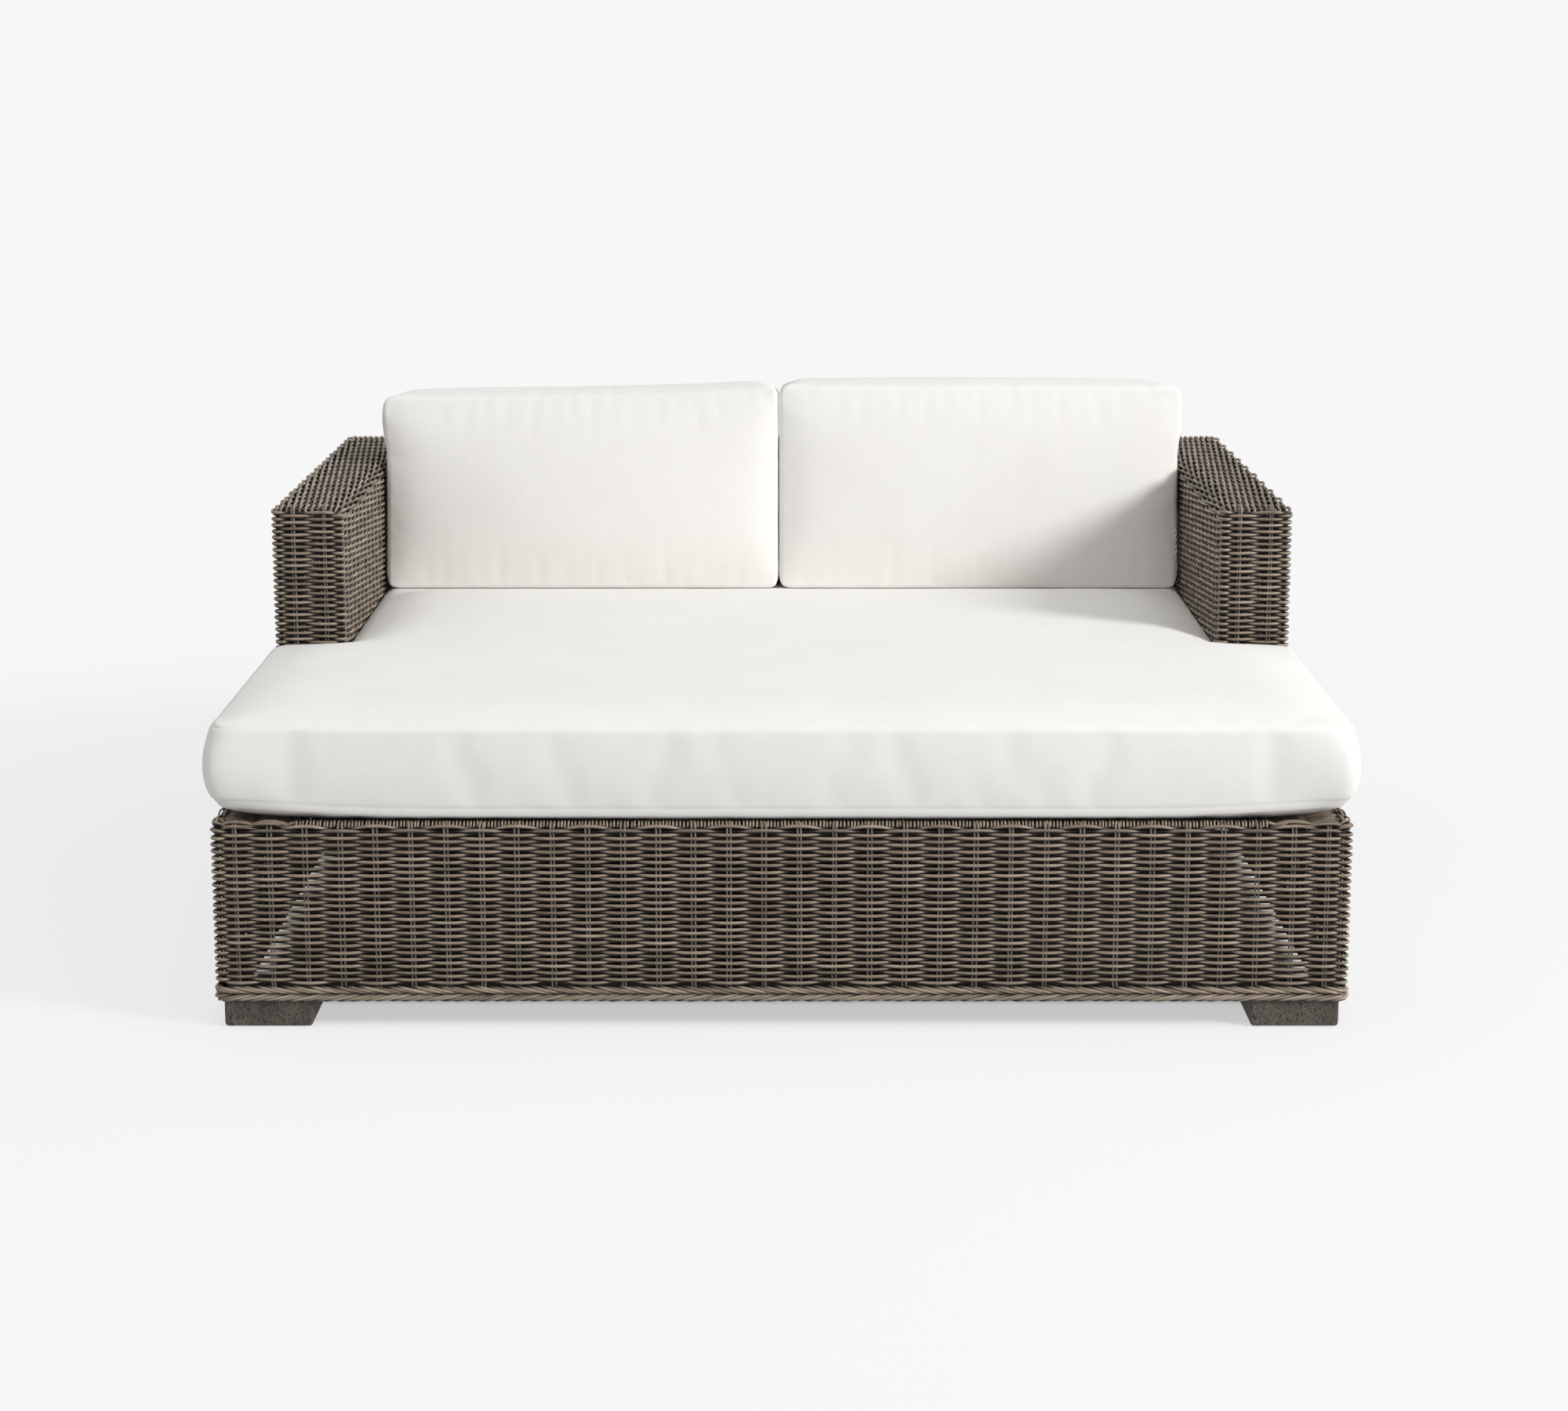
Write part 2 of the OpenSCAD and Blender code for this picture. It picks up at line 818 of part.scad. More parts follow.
module foot_front() {
  translate([foot_r, 0])
    square([foot_w - 2 * foot_r, foot_h]);
  translate([0, foot_r])
    square([foot_w, foot_h - foot_r]);
  for (x = [foot_r, foot_w - foot_r]) {
    translate([x, foot_r])
      circle(r = foot_r, $fn = 24);
  }
}

module foot_at(sx, sy) {
  color(foot_colour)
    translate([sx * foot_x, sy * foot_y, 0])
      mirror([sx < 0 ? 1 : 0, 0, 0])
        mirror([0, sy < 0 ? 1 : 0, 0])
          foot_block();
}

module foot_front_left() {
  foot_at(-1, -1);
}

module foot_front_right() {
  foot_at(1, -1);
}

module foot_back_left() {
  foot_at(-1, 1);
}

module foot_back_right() {
  foot_at(1, 1);
}

module at_each_foot() {
  for (sx = [-1, 1], sy = [-1, 1]) {
    scale_x = sx < 0 ? 1 : 0;
    scale_y = sy < 0 ? 1 : 0;
    mirror([scale_x, 0, 0])
      mirror([0, scale_y, 0])
        children();
  }
}

// Mounting plates under the corners of the lower rails
module foot_plates() {
  color(tube_colour)
    at_each_foot() {
      difference() {
        translate([plate_x - plate_w / 2, plate_y - plate_w / 2, base_bottom])
          linear_extrude(plate_t)
            rounded_square(plate_w, tube_r);
        for (p = bolt_places) {
          translate([foot_x + p[0], foot_y + p[1], base_bottom - 1])
            cylinder(d = bolt_d, h = plate_t + 2, $fn = 32);
        }
      }
    }
}

module foot_bolts() {
  head_z = glide_t + counterbore_h - bolt_head_h;
  color(steel_colour)
    at_each_foot() {
      for (p = bolt_places) {
        translate([foot_x + p[0], foot_y + p[1], head_z]) {
          cylinder(d = bolt_head_d, h = bolt_head_h, $fn = 32);
          cylinder(d = bolt_d, h = foot_h + plate_t - head_z, $fn = 32);
        }
      }
    }
}

module foot_glides() {
  color(glide_colour)
    at_each_foot() {
      difference() {
        translate([foot_x - glide_w / 2, foot_y - glide_w / 2, 0])
          cube([glide_w, glide_w, glide_t]);
        for (p = bolt_places) {
          translate([foot_x + p[0], foot_y + p[1], -1])
            cylinder(d = bolt_head_d + 4 * bolt_play, h = glide_t + 2, $fn = 32);
        }
      }
    }
}

// Closed skin over rings of points, with a middle point at each end
function ring_faces(rings, m) =
  concat(
    [for (i = [0:rings - 2]) for (k = [0:m - 1])
      [i * m + k, i * m + (k + 1) % m, (i + 1) * m + (k + 1) % m]],
    [for (i = [0:rings - 2]) for (k = [0:m - 1])
      [i * m + k, (i + 1) * m + (k + 1) % m, (i + 1) * m + k]],
    [for (k = [0:m - 1]) [rings * m, (k + 1) % m, k]],
    [for (k = [0:m - 1]) [rings * m + 1, (rings - 1) * m + k, (rings - 1) * m + (k + 1) % m]]);

function middle(points) =
  [for (c = [0:2]) (max([for (p = points) p[c]]) + min([for (p = points) p[c]])) / 2];

module ring_solid(rings) {
  m = len(rings[0]);
  n = len(rings);
  polyhedron(
    points = concat([for (r = rings) each r], [middle(rings[0]), middle(rings[n - 1])]),
    faces = ring_faces(n, m));
}

function smooth(t) = let (c = max(0, min(1, t))) c * c * (3 - 2 * c);

// Seat cushion

// Distance from a point of the top to the nearest seam
function seam_distance(x, y) =
  let (ax = abs(x))
  y < ear_y
    ? min(seat_hw - ax, y - seat_y0, ax > seat_rear_hw ? ear_y - y : norm([seat_rear_hw - ax, ear_y - y]))
    : min(seat_rear_hw - ax, seat_y1 - y);

function seat_top(x, y) =
  let (
    full = seat_crown * sin(90 * max(0, min(1, seam_distance(x, y) / crown_reach))),
    k = smooth((y - press_y + press_run) / press_run))
  seat_zt + full * (1 - k) + min(full, pressed_crown) * k;

// Shares across an ear and across the middle; the middle ones keep their place past the notch
ear_steps = [0.9, 0.6, 0.2];
middle_steps = [1, 0.6, 0, -0.6, -1];
bottom_steps = [-0.95, 0, 0.95];

// One section of the seat cushion across Y; inset draws it in, for its two ends
function seat_ring(y, hw, inset, off) =
  let (
    w = hw - off - inset,
    zt = seat_zt - off - inset,
    zb = seat_zb + off + inset * 0.5,
    z0 = seat_z0 + off + inset,
    inner = seat_rear_hw - off - inset - ear_band,
    band = w - seat_puff - inner,
    xs = concat(
      [for (s = ear_steps) inner + band * s],
      [for (s = middle_steps) inner * s],
      [for (k = [1:len(ear_steps)]) -inner - band * ear_steps[len(ear_steps) - k]]))
  concat(
    [[w - seat_puff, y, zb], [w, y, (zb + zt) / 2], [w - seat_puff, y, zt]],
    [for (x = xs) [x, y, seat_top(x, y) - off - inset]],
    [[-w + seat_puff, y, zt], [-w, y, (zb + zt) / 2], [-w + seat_puff, y, zb]],
    [for (s = bottom_steps) [w * s, y, z0]]);

// Sections from the front to the back; the cover and the core differ by off
function seat_rings(off) = [
  seat_ring(seat_y0 + off, seat_hw, cap_inset, off),
  seat_ring(seat_y0 + off + seat_puff, seat_hw, 0, off),
  seat_ring(seat_y0 + crown_reach * 0.4, seat_hw, 0, off),
  seat_ring(seat_y0 + crown_reach, seat_hw, 0, off),
  seat_ring((seat_y0 + ear_y) / 2, seat_hw, 0, off),
  seat_ring(ear_y - crown_reach, seat_hw, 0, off),
  seat_ring(ear_y - crown_reach * 0.4, seat_hw, 0, off),
  seat_ring(ear_y - ear_slope - off, seat_hw, 0, off),
  seat_ring(ear_y - off, seat_rear_hw, 0, off),
  seat_ring(ear_y + crown_reach, seat_rear_hw, 0, off),
  seat_ring((ear_y + crown_reach + press_y - press_run) / 2, seat_rear_hw, 0, off),
  seat_ring(press_y - press_run, seat_rear_hw, 0, off),
  seat_ring(press_y - press_run / 2, seat_rear_hw, 0, off),
  seat_ring(press_y, seat_rear_hw, 0, off),
  seat_ring(seat_y1 - crown_reach, seat_rear_hw, 0, off),
  seat_ring(seat_y1 - off - seat_puff, seat_rear_hw, 0, off),
  seat_ring(seat_y1 - off, seat_rear_hw, cap_inset, off)
];

seat_zip_z = (seat_zb + seat_zt) / 2;

module seat_cushion_cover() {
  color(cover_colour)
    difference() {
      ring_solid(seat_rings(0));
      ring_solid(seat_rings(cover_t));
      translate([-seat_zip_l / 2, seat_y1 - cover_t - 1, seat_zip_z - zip_w / 2])
        cube([seat_zip_l, cover_t + 2, zip_w]);
    }
}

module seat_cushion_core() {
  color(core_colour)
    ring_solid(seat_rings(cover_t));
}

// Zip tape in its slot with the teeth along it, and the slider on the teeth
module zip(length) {
  translate([-length / 2, 0, -zip_w / 2])
    cube([length, cover_t - zip_recess, zip_w]);
  translate([-length / 2, cover_t - zip_recess, -zip_teeth_w / 2])
    cube([length - slider_l, zip_recess, zip_teeth_w]);
  translate([length / 2 - slider_l, cover_t - zip_recess, -zip_w / 2])
    cube([slider_l, zip_recess, zip_w]);
}

module seat_cushion_zip() {
  color(zip_colour)
    translate([0, seat_y1 - cover_t, seat_zip_z])
      zip(seat_zip_l);
}

// Back cushions

// Crown of a face at a share across and a share up, each from 0 to 1
function face_crown(u, v, h) = h * pow(sin(180 * u), 0.6) * pow(sin(180 * v), 0.6);

rise_steps = [0, 0.12, 0.32, 0.56, 0.8, 0.94, 1];
depth_steps = [0.2, 0.5, 0.8];
span_steps = [0, 0.02, 0.1, 0.25, 0.5, 0.75, 0.9, 0.98, 1];

// One section of a back cushion across X, at a share u of its width
function back_ring(x, u, inset, off) =
  let (
    z0 = back_z0 + off + inset,
    z1 = back_z1 - back_top_crown - off - inset,
    y0 = back_y0 + off + inset,
    y1 = back_y0 + back_cushion_t - off - inset,
    run = z1 - z0)
  concat(
    [for (v = rise_steps)
      [x, y0 - face_crown(u, v, back_crown) + back_lean * run * v, z0 + run * v]],
    [for (d = depth_steps)
      [x, y0 + (y1 - y0) * d + back_lean * run, z1 + face_crown(u, d, back_top_crown)]],
    [for (k = [0:6])
      let (v = 1 - rise_steps[k])
      [x, y1 + face_crown(u, v, back_crown) + back_lean * run * v, z0 + run * v]],
    [for (d = depth_steps) [x, y1 + (y0 - y1) * d, z0]]);

function back_rings(x0, x1, off) =
  [for (k = [0:len(span_steps) - 1])
    let (
      u = span_steps[k],
      at_end = k == 0 || k == len(span_steps) - 1,
      x = x0 + off + (x1 - x0 - 2 * off) * u)
    back_ring(x, at_end ? 0 : u, at_end ? cap_inset / 2 : 0, off)];

back_x0 = back_play / 2;
back_x1 = inner_x - back_play;
back_zip_y = back_y0 + back_cushion_t / 2;

module back_cushion_cover() {
  color(cover_colour)
    difference() {
      ring_solid(back_rings(back_x0, back_x1, 0));
      ring_solid(back_rings(back_x0, back_x1, cover_t));
      translate([(back_x0 + back_x1 - back_zip_l) / 2, back_zip_y - zip_w / 2, back_z0 - 1])
        cube([back_zip_l, zip_w, cover_t + 2]);
    }
}

module back_cushion_core() {
  color(core_colour)
    ring_solid(back_rings(back_x0, back_x1, cover_t));
}

module back_cushion_zip() {
  color(zip_colour)
    translate([(back_x0 + back_x1) / 2, back_zip_y, back_z0 + cover_t])
      rotate([-90, 0, 0])
        zip(back_zip_l);
}

module back_cushion_right_cover() {
  back_cushion_cover();
}

module back_cushion_left_cover() {
  mirror([1, 0, 0])
    back_cushion_cover();
}

module back_cushion_right_core() {
  back_cushion_core();
}

module back_cushion_left_core() {
  mirror([1, 0, 0])
    back_cushion_core();
}

module back_cushion_right_zip() {
  back_cushion_zip();
}

module back_cushion_left_zip() {
  mirror([1, 0, 0])
    back_cushion_zip();
}

base_lower_rail_front();
base_lower_rail_back();
base_lower_rail_left();
base_lower_rail_right();
base_upper_rail_front();
base_upper_rail_back();
base_upper_rail_left();
base_upper_rail_right();
corner_posts();
inner_base_rails();
deck_bearers();
arm_posts();
arm_left_top_rails();
arm_right_top_rails();
back_top_rails();
back_posts();
base_front_weave();
base_back_weave();
base_left_weave();
base_right_weave();
border_front();
border_back();
border_left();
border_right();
arm_left_outer_weave();
arm_right_outer_weave();
back_outer_weave();
arm_left_inner_weave();
arm_right_inner_weave();
back_inner_weave();
arm_left_front_weave();
arm_right_front_weave();
arm_left_top_weave();
arm_right_top_weave();
back_top_weave();
deck_weave();
ledge_left_weave();
ledge_right_weave();
front_stakes();
side_stakes();
back_stakes();
inner_stakes();
deck_stakes();
top_stakes();
foot_front_left();
foot_front_right();
foot_back_left();
foot_back_right();
foot_plates();
foot_bolts();
foot_glides();
seat_cushion_cover();
seat_cushion_core();
seat_cushion_zip();
back_cushion_left_cover();
back_cushion_left_core();
back_cushion_left_zip();
back_cushion_right_cover();
back_cushion_right_core();
back_cushion_right_zip();
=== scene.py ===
import json
import math

import bpy
import numpy as np
from mathutils import Matrix, Vector


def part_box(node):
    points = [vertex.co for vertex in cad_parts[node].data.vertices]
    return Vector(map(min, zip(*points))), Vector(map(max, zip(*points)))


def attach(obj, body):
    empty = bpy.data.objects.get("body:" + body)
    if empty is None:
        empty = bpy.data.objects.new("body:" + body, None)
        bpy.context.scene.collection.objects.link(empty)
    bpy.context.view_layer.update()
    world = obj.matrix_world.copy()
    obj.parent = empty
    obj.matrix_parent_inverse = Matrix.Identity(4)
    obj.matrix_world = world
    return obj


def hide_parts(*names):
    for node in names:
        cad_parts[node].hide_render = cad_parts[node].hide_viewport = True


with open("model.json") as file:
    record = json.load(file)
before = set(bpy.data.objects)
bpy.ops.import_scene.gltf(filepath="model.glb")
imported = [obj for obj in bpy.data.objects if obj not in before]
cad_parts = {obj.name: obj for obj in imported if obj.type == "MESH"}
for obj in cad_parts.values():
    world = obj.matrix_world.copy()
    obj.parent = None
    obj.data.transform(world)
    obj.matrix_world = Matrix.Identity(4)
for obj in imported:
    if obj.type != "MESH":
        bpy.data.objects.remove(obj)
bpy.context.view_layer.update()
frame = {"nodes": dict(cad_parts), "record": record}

# Places that the frame gives, in metres: X is the width, -Y the front, Z up
baseLow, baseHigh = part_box("base_front_weave")
sideX = baseHigh.x                                  # crest of the woven sides
frontY = baseLow.y                                  # crest of the woven front
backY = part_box("base_back_weave")[1].y              # crest of the woven back
rowsZ = baseLow.z                                   # bottom of the lowest row
deckZ = baseHigh.z                                  # woven deck and rim
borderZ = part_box("border_front")[0].z
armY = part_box("arm_right_front_weave")[0].y         # crest of the arm fronts
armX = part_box("arm_right_front_weave")[0].x         # crest of the inner arm faces
standUp = 0.0035                                    # the strands stand up over the arm tops
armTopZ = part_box("arm_right_top_weave")[1].z + standUp
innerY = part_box("back_inner_weave")[0].y            # crest of the back's inner face
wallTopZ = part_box("arm_right_outer_weave")[1].z
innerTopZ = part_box("arm_right_inner_weave")[1].z


# Materials

class Socket:
    # one output of a shader node; sums with it add Math nodes
    def __init__(self, maker, output):
        self.maker = maker
        self.output = output

    def maths(self, operation, first, second=0.0):
        return self.maker.node("ShaderNodeMath", {"operation": operation}, {0: first, 1: second})

    def __add__(self, other):
        return self.maths("ADD", self, other)

    def __radd__(self, other):
        return self.maths("ADD", other, self)

    def __mul__(self, other):
        return self.maths("MULTIPLY", self, other)

    def __rmul__(self, other):
        return self.maths("MULTIPLY", other, self)

    def __sub__(self, other):
        return self.maths("SUBTRACT", self, other)

    def __rsub__(self, other):
        return self.maths("SUBTRACT", other, self)

    def __abs__(self):
        return self.maths("ABSOLUTE", self)


class Finish:
    # a node tree to add to; a material's constants are set on the shader itself
    def __init__(self, tree, shader=None):
        self.tree = tree
        self.shader = shader

    def node(self, kind, settings=None, values=None, output=0):
        made = self.tree.nodes.new(kind)
        for name, value in (settings or {}).items():
            if name == "stops":
                while len(made.color_ramp.elements) < len(value):
                    made.color_ramp.elements.new(0.5)
                for element, (place, shade) in zip(made.color_ramp.elements, value):
                    element.position = place
                    element.color = shade
            else:
                setattr(made, name, value)
        for name, value in (values or {}).items():
            if isinstance(value, Socket):
                self.tree.links.new(value.output, made.inputs[name])
            else:
                made.inputs[name].default_value = value
        return Socket(self, made.outputs[output])

    def noise(self, place, scale, detail=2.0, stretch=(1, 1, 1), roughness=0.5):
        turned = self.node("ShaderNodeMapping", None, {"Vector": place, "Scale": stretch})
        return self.node("ShaderNodeTexNoise", None,
                         {"Vector": turned, "Scale": scale, "Detail": detail, "Roughness": roughness})

    def read(self, name, output=2):
        # a value that the mesh carries
        return self.node("ShaderNodeAttribute", {"attribute_name": name}, output=output)

    def onObject(self):
        return self.node("ShaderNodeTexCoord", output=3)

    def ramp(self, value, *stops):
        return self.node("ShaderNodeValToRGB", {"stops": stops}, {0: value})

    def ease(self, value, ends):
        # from 0 to 1 with soft ends
        return self.node("ShaderNodeMapRange", {"interpolation_type": "SMOOTHSTEP"},
                         {0: value, 1: ends[0], 2: ends[1]})

    def seen(self):
        # 1 for the camera's own rays and for those of gloss and glass
        rays = self.tree.nodes.new("ShaderNodeLightPath")
        names = ("Is Camera Ray", "Is Glossy Ray", "Is Transmission Ray")
        camera, glossy, clear = [Socket(self, rays.outputs[name]) for name in names]
        return camera + glossy + clear

    def feed(self, name, value):
        self.tree.links.new(value.output, self.shader.inputs[name])

    def bump(self, height, strength, distance):
        self.feed("Normal", self.node("ShaderNodeBump", None,
                                      {"Height": height, "Strength": strength, "Distance": distance}))


def newFinish(name, **constants):
    material = bpy.data.materials.new(name)
    material.use_nodes = True
    shader = material.node_tree.nodes["Principled BSDF"]
    for words, value in constants.items():
        shader.inputs[words.replace("_", " ")].default_value = value
    return material, Finish(material.node_tree, shader)


def shade(red, green, blue):
    # an sRGB colour from 0 to 255 as linear numbers
    def linear(c):
        c = c / 255
        return c / 12.92 if c <= 0.04045 else ((c + 0.055) / 1.055) ** 2.4
    return (linear(red), linear(green), linear(blue), 1)


strandLook = {
    "tone": 0.3, "streaks": 0.34, "blotches": 0.3,   # shares of what varies from strand to strand and on it
    "level": 0.065,
    "shadow": 0.7,                                   # how much painted shade darkens a strand where it runs behind, and on its underside
    # darkest colours, which mostly the painted shade reaches
    "deepest": shade(14, 11, 9), "deep": shade(44, 37, 31),
    "grain": 0.35, "grainHeight": 0.0006,
}


def strandMaterial(name, dark, middle, pale):
    # each strand has its own tone, fine streaks along it and blotches, and painted shade where it runs
    # behind and on its underside
    material, make = newFinish(name, Roughness=0.6, Specular_IOR_Level=0.6)
    place = make.read("strandPlace", 1)
    tone, depth = make.read("strandTone"), make.read("strandDepth")
    streak = make.noise(place, 1.0, 3.0, (16, 4, 1), 0.6)
    blotch = make.noise(place, 1.0, 2.0, (55, 1.2, 3))
    mixed = tone * strandLook["tone"] + streak * strandLook["streaks"] + blotch * strandLook["blotches"]
    # painted shade: the strand darkens by the painted shade that the mesh carries
    mixed = mixed + strandLook["level"] - depth * strandLook["shadow"]
    make.feed("Base Color", make.ramp(mixed, (0.0, strandLook["deepest"]), (0.2, strandLook["deep"]),
                                      (0.38, dark), (0.58, middle), (0.85, pale)))
    make.feed("Roughness", streak * 0.2 + 0.36 + depth * 0.4)
    make.bump(make.noise(place, 1.0, 2.0, (90, 14, 1)), strandLook["grain"], strandLook["grainHeight"])
    return material


strandFinish = strandMaterial("wovenStrand", shade(102, 89, 75), shade(147, 133, 116), shade(190, 178, 162))
stakeFinish = strandMaterial("stakeStrand", shade(108, 96, 82), shade(146, 134, 118), shade(178, 168, 152))


# Editing helpers

def deselectAll():
    if bpy.context.object and bpy.context.object.mode != "OBJECT":
        bpy.ops.object.mode_set(mode="OBJECT")
    bpy.ops.object.select_all(action="DESELECT")


def pick(piece):
    deselectAll()
    piece.select_set(True)
    bpy.context.view_layer.objects.active = piece


def editing(piece, *steps):
    # runs operators on the whole piece in edit mode
    pick(piece)
    bpy.ops.object.mode_set(mode="EDIT")
    bpy.ops.mesh.select_all(action="SELECT")
    for step in steps:
        step()
    bpy.ops.object.mode_set(mode="OBJECT")


def faceOutwards(piece):
    editing(piece, lambda: bpy.ops.mesh.normals_make_consistent(inside=False))


def closeEnds(piece):
    editing(piece, lambda: bpy.ops.mesh.fill_holes(sides=0))


def applyModifiers(piece):
    pick(piece)
    for modifier in list(piece.modifiers):
        bpy.ops.object.modifier_apply(modifier=modifier.name)


def joinPieces(parts, name):
    deselectAll()
    for part in parts:
        part.select_set(True)
    bpy.context.view_layer.objects.active = parts[0]
    if len(parts) > 1:
        bpy.ops.object.join()
    parts[0].name = name
    parts[0].data.name = name
    return parts[0]


def points(piece):
    co = np.empty(len(piece.data.vertices) * 3, np.float64)
    piece.data.vertices.foreach_get("co", co)
    return co.reshape(-1, 3)


def setPoints(piece, co):
    piece.data.vertices.foreach_set("co", co.reshape(-1).astype(np.float32))
    piece.data.update()


def storeValues(piece, name, kind, values):
    layer = piece.data.attributes.new(name, kind, "POINT")
    layer.data.foreach_set("vector" if kind == "FLOAT_VECTOR" else "value",
                           values.reshape(-1).astype(np.float32))


def smooth(t):
    t = np.clip(t, 0, 1)
    return t * t * (3 - 2 * t)


def hump(t):
    # 1 in the middle, and 0 from -1 down and from 1 up
    return np.cos(np.clip(t, -1, 1) * math.pi / 2) ** 2


def evenly(first, last, pitch):
    count = max(1, round((last - first) / pitch))
    return [first + (last - first) * k / count for k in range(count + 1)]


def nodeName(name):
    # the CAD node that a piece is named after, such as base_front_weave for baseFrontWeave
    return "".join("_" + letter.lower() if letter.isupper() else letter for letter in name)


def handOver(piece, body, slotName, material, *nodes):
    # smooths a finished piece, points its faces outwards and gives it to its body
    faceOutwards(piece)
    bpy.ops.object.shade_smooth()
    piece.data.materials.clear()
    piece.data.materials.append(material)
    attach(piece, body)
    if nodes:
        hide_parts(*nodes)
    print("made", piece.name, len(piece.data.polygons), "faces")


# Weave, laid flat first: X runs along the strands, -Y is outwards and Z counts the rows

weave = {
    "strandRadius": 0.0025,
    "strandSides": 6,
    "waveDepth": 0.0049,      # from the middle of the weave to a strand's middle
    "stepsPerPair": 6,        # pieces of strand from one stake pair to the next
    "rowPitch": 0.0052,
    "pairPitch": 0.052,
    "firstPair": 0.037,       # from a corner's crest to the first stake pair
    "rowWander": 0.0004,      # how far a row strays up and down
    "depthWander": 0.0004,
    "wanderWaves": (14, 41, 23),   # radians for each metre: two up and down, one in and out
    "crossing": 0.26,         # strands lie closer where they cross, and look slimmer there
    "crossingAt": 0.6, "crossingHalf": 0.22,
    "settle": 0.022,          # a strand's end comes to its level over this length
    "fade": 0.55, "fadeRun": 0.42,   # share of the depth where painted shade starts to darken a strand, and for how long
    "underside": 0.34,        # painted shade: how much darker a strand's underside is
    "frontCorner": 0.024,     # radii of the corners, at the crest
    "rearCorner": 0.026,
    "armCorner": 0.018,
    "edgeOuter": 0.014,
    "edgeInner": 0.020,
}
deckWeave = dict(weave, strandRadius=0.0021, strandSides=4, stepsPerPair=2)
shownWeave = dict(weave, stepsPerPair=8)     # where the corners show
hiddenWeave = dict(weave, strandSides=5)     # behind the back cushions
crestDepth = weave["strandRadius"] + weave["waveDepth"]   # from the crest to the middle of the weave

drawn = np.random.default_rng(7)
tones = drawn.random((401, 64))
wanders = drawn.random((401, 4)) * 2 * math.pi


def extrudedStrand(name, radius, sides, moves, along):
    # a ring of the strand's section, extruded step by step
    turn = {"X": (math.pi / 2, 0, math.pi / 2), "Z": (0, 0, 0)}[along]
    deselectAll()
    bpy.ops.mesh.primitive_circle_add(vertices=sides, radius=radius, rotation=turn, location=(0, 0, 0))
    strand = bpy.context.object
    strand.name = name
    bpy.ops.object.transform_apply(location=True, rotation=True, scale=True)
    extrude = bpy.ops.mesh.extrude_edges_move
    editing(strand, *[lambda move=move: extrude(TRANSFORM_OT_translate={"value": move}) for move in moves])
    return strand


def repeat(piece, count, offset, merge=False):
    array = piece.modifiers.new("repeat", "ARRAY")
    array.use_relative_offset = False
    array.use_constant_offset = True
    array.constant_offset_displace = offset
    array.count = count
    array.use_merge_vertices = merge
    array.merge_threshold = 0.0001
    applyModifiers(piece)


def cutSquare(piece, x, keepRight):
    editing(piece, lambda: bpy.ops.mesh.bisect(plane_co=(x, 0, 0), plane_no=(1, 0, 0), use_fill=True,
                                               clear_inner=keepRight, clear_outer=not keepRight))


def waveAt(share):
    # a strand's way in and out; share counts pairs
    return 1.04 * np.cos(math.pi * share) - 0.04 * np.cos(3 * math.pi * share)


def flatRows(name, first, last, rows, oddStart, look=weave):
    # rows of strands from stake pair first to last; a strand passes outside the pairs of its own parity
    pitch, steps = look["pairPitch"], look["stepsPerPair"]
    before = 2 * math.ceil((1 - first) / 2)
    periods = math.ceil((last + before + 0.01) / 2)
    parts = []
    for row in (0, 1):
        way = -1 if (row + oddStart) % 2 == 0 else 1
        depths = [way * look["waveDepth"] * float(waveAt(k / steps)) for k in range(2 * steps + 1)]
        moves = [(pitch / steps, depths[k + 1] - depths[k], 0) for k in range(2 * steps)]
        strand = extrudedStrand(name, look["strandRadius"], look["strandSides"], moves, "X")
        height = (row + 0.5) * look["rowPitch"]
        strand.data.transform(Matrix.Translation((-before * pitch, depths[0], height)))
        repeat(strand, periods, (2 * pitch, 0, 0), merge=True)
        cutSquare(strand, first * pitch, True)
        cutSquare(strand, last * pitch, False)
        repeat(strand, (rows + 1 - row) // 2, (0, 0, 2 * look["rowPitch"]))
        parts.append(strand)
    return joinPieces(parts, name)


def storeStrands(piece, tone, depth, along, turn, number):
    # what the strands' finish reads: tone, painted shade, and a place along, round and from strand to strand
    storeValues(piece, "strandTone", "FLOAT", tone)
    storeValues(piece, "strandDepth", "FLOAT", depth)
    storeValues(piece, "strandPlace", "FLOAT_VECTOR", np.stack([along, turn, number], 1))


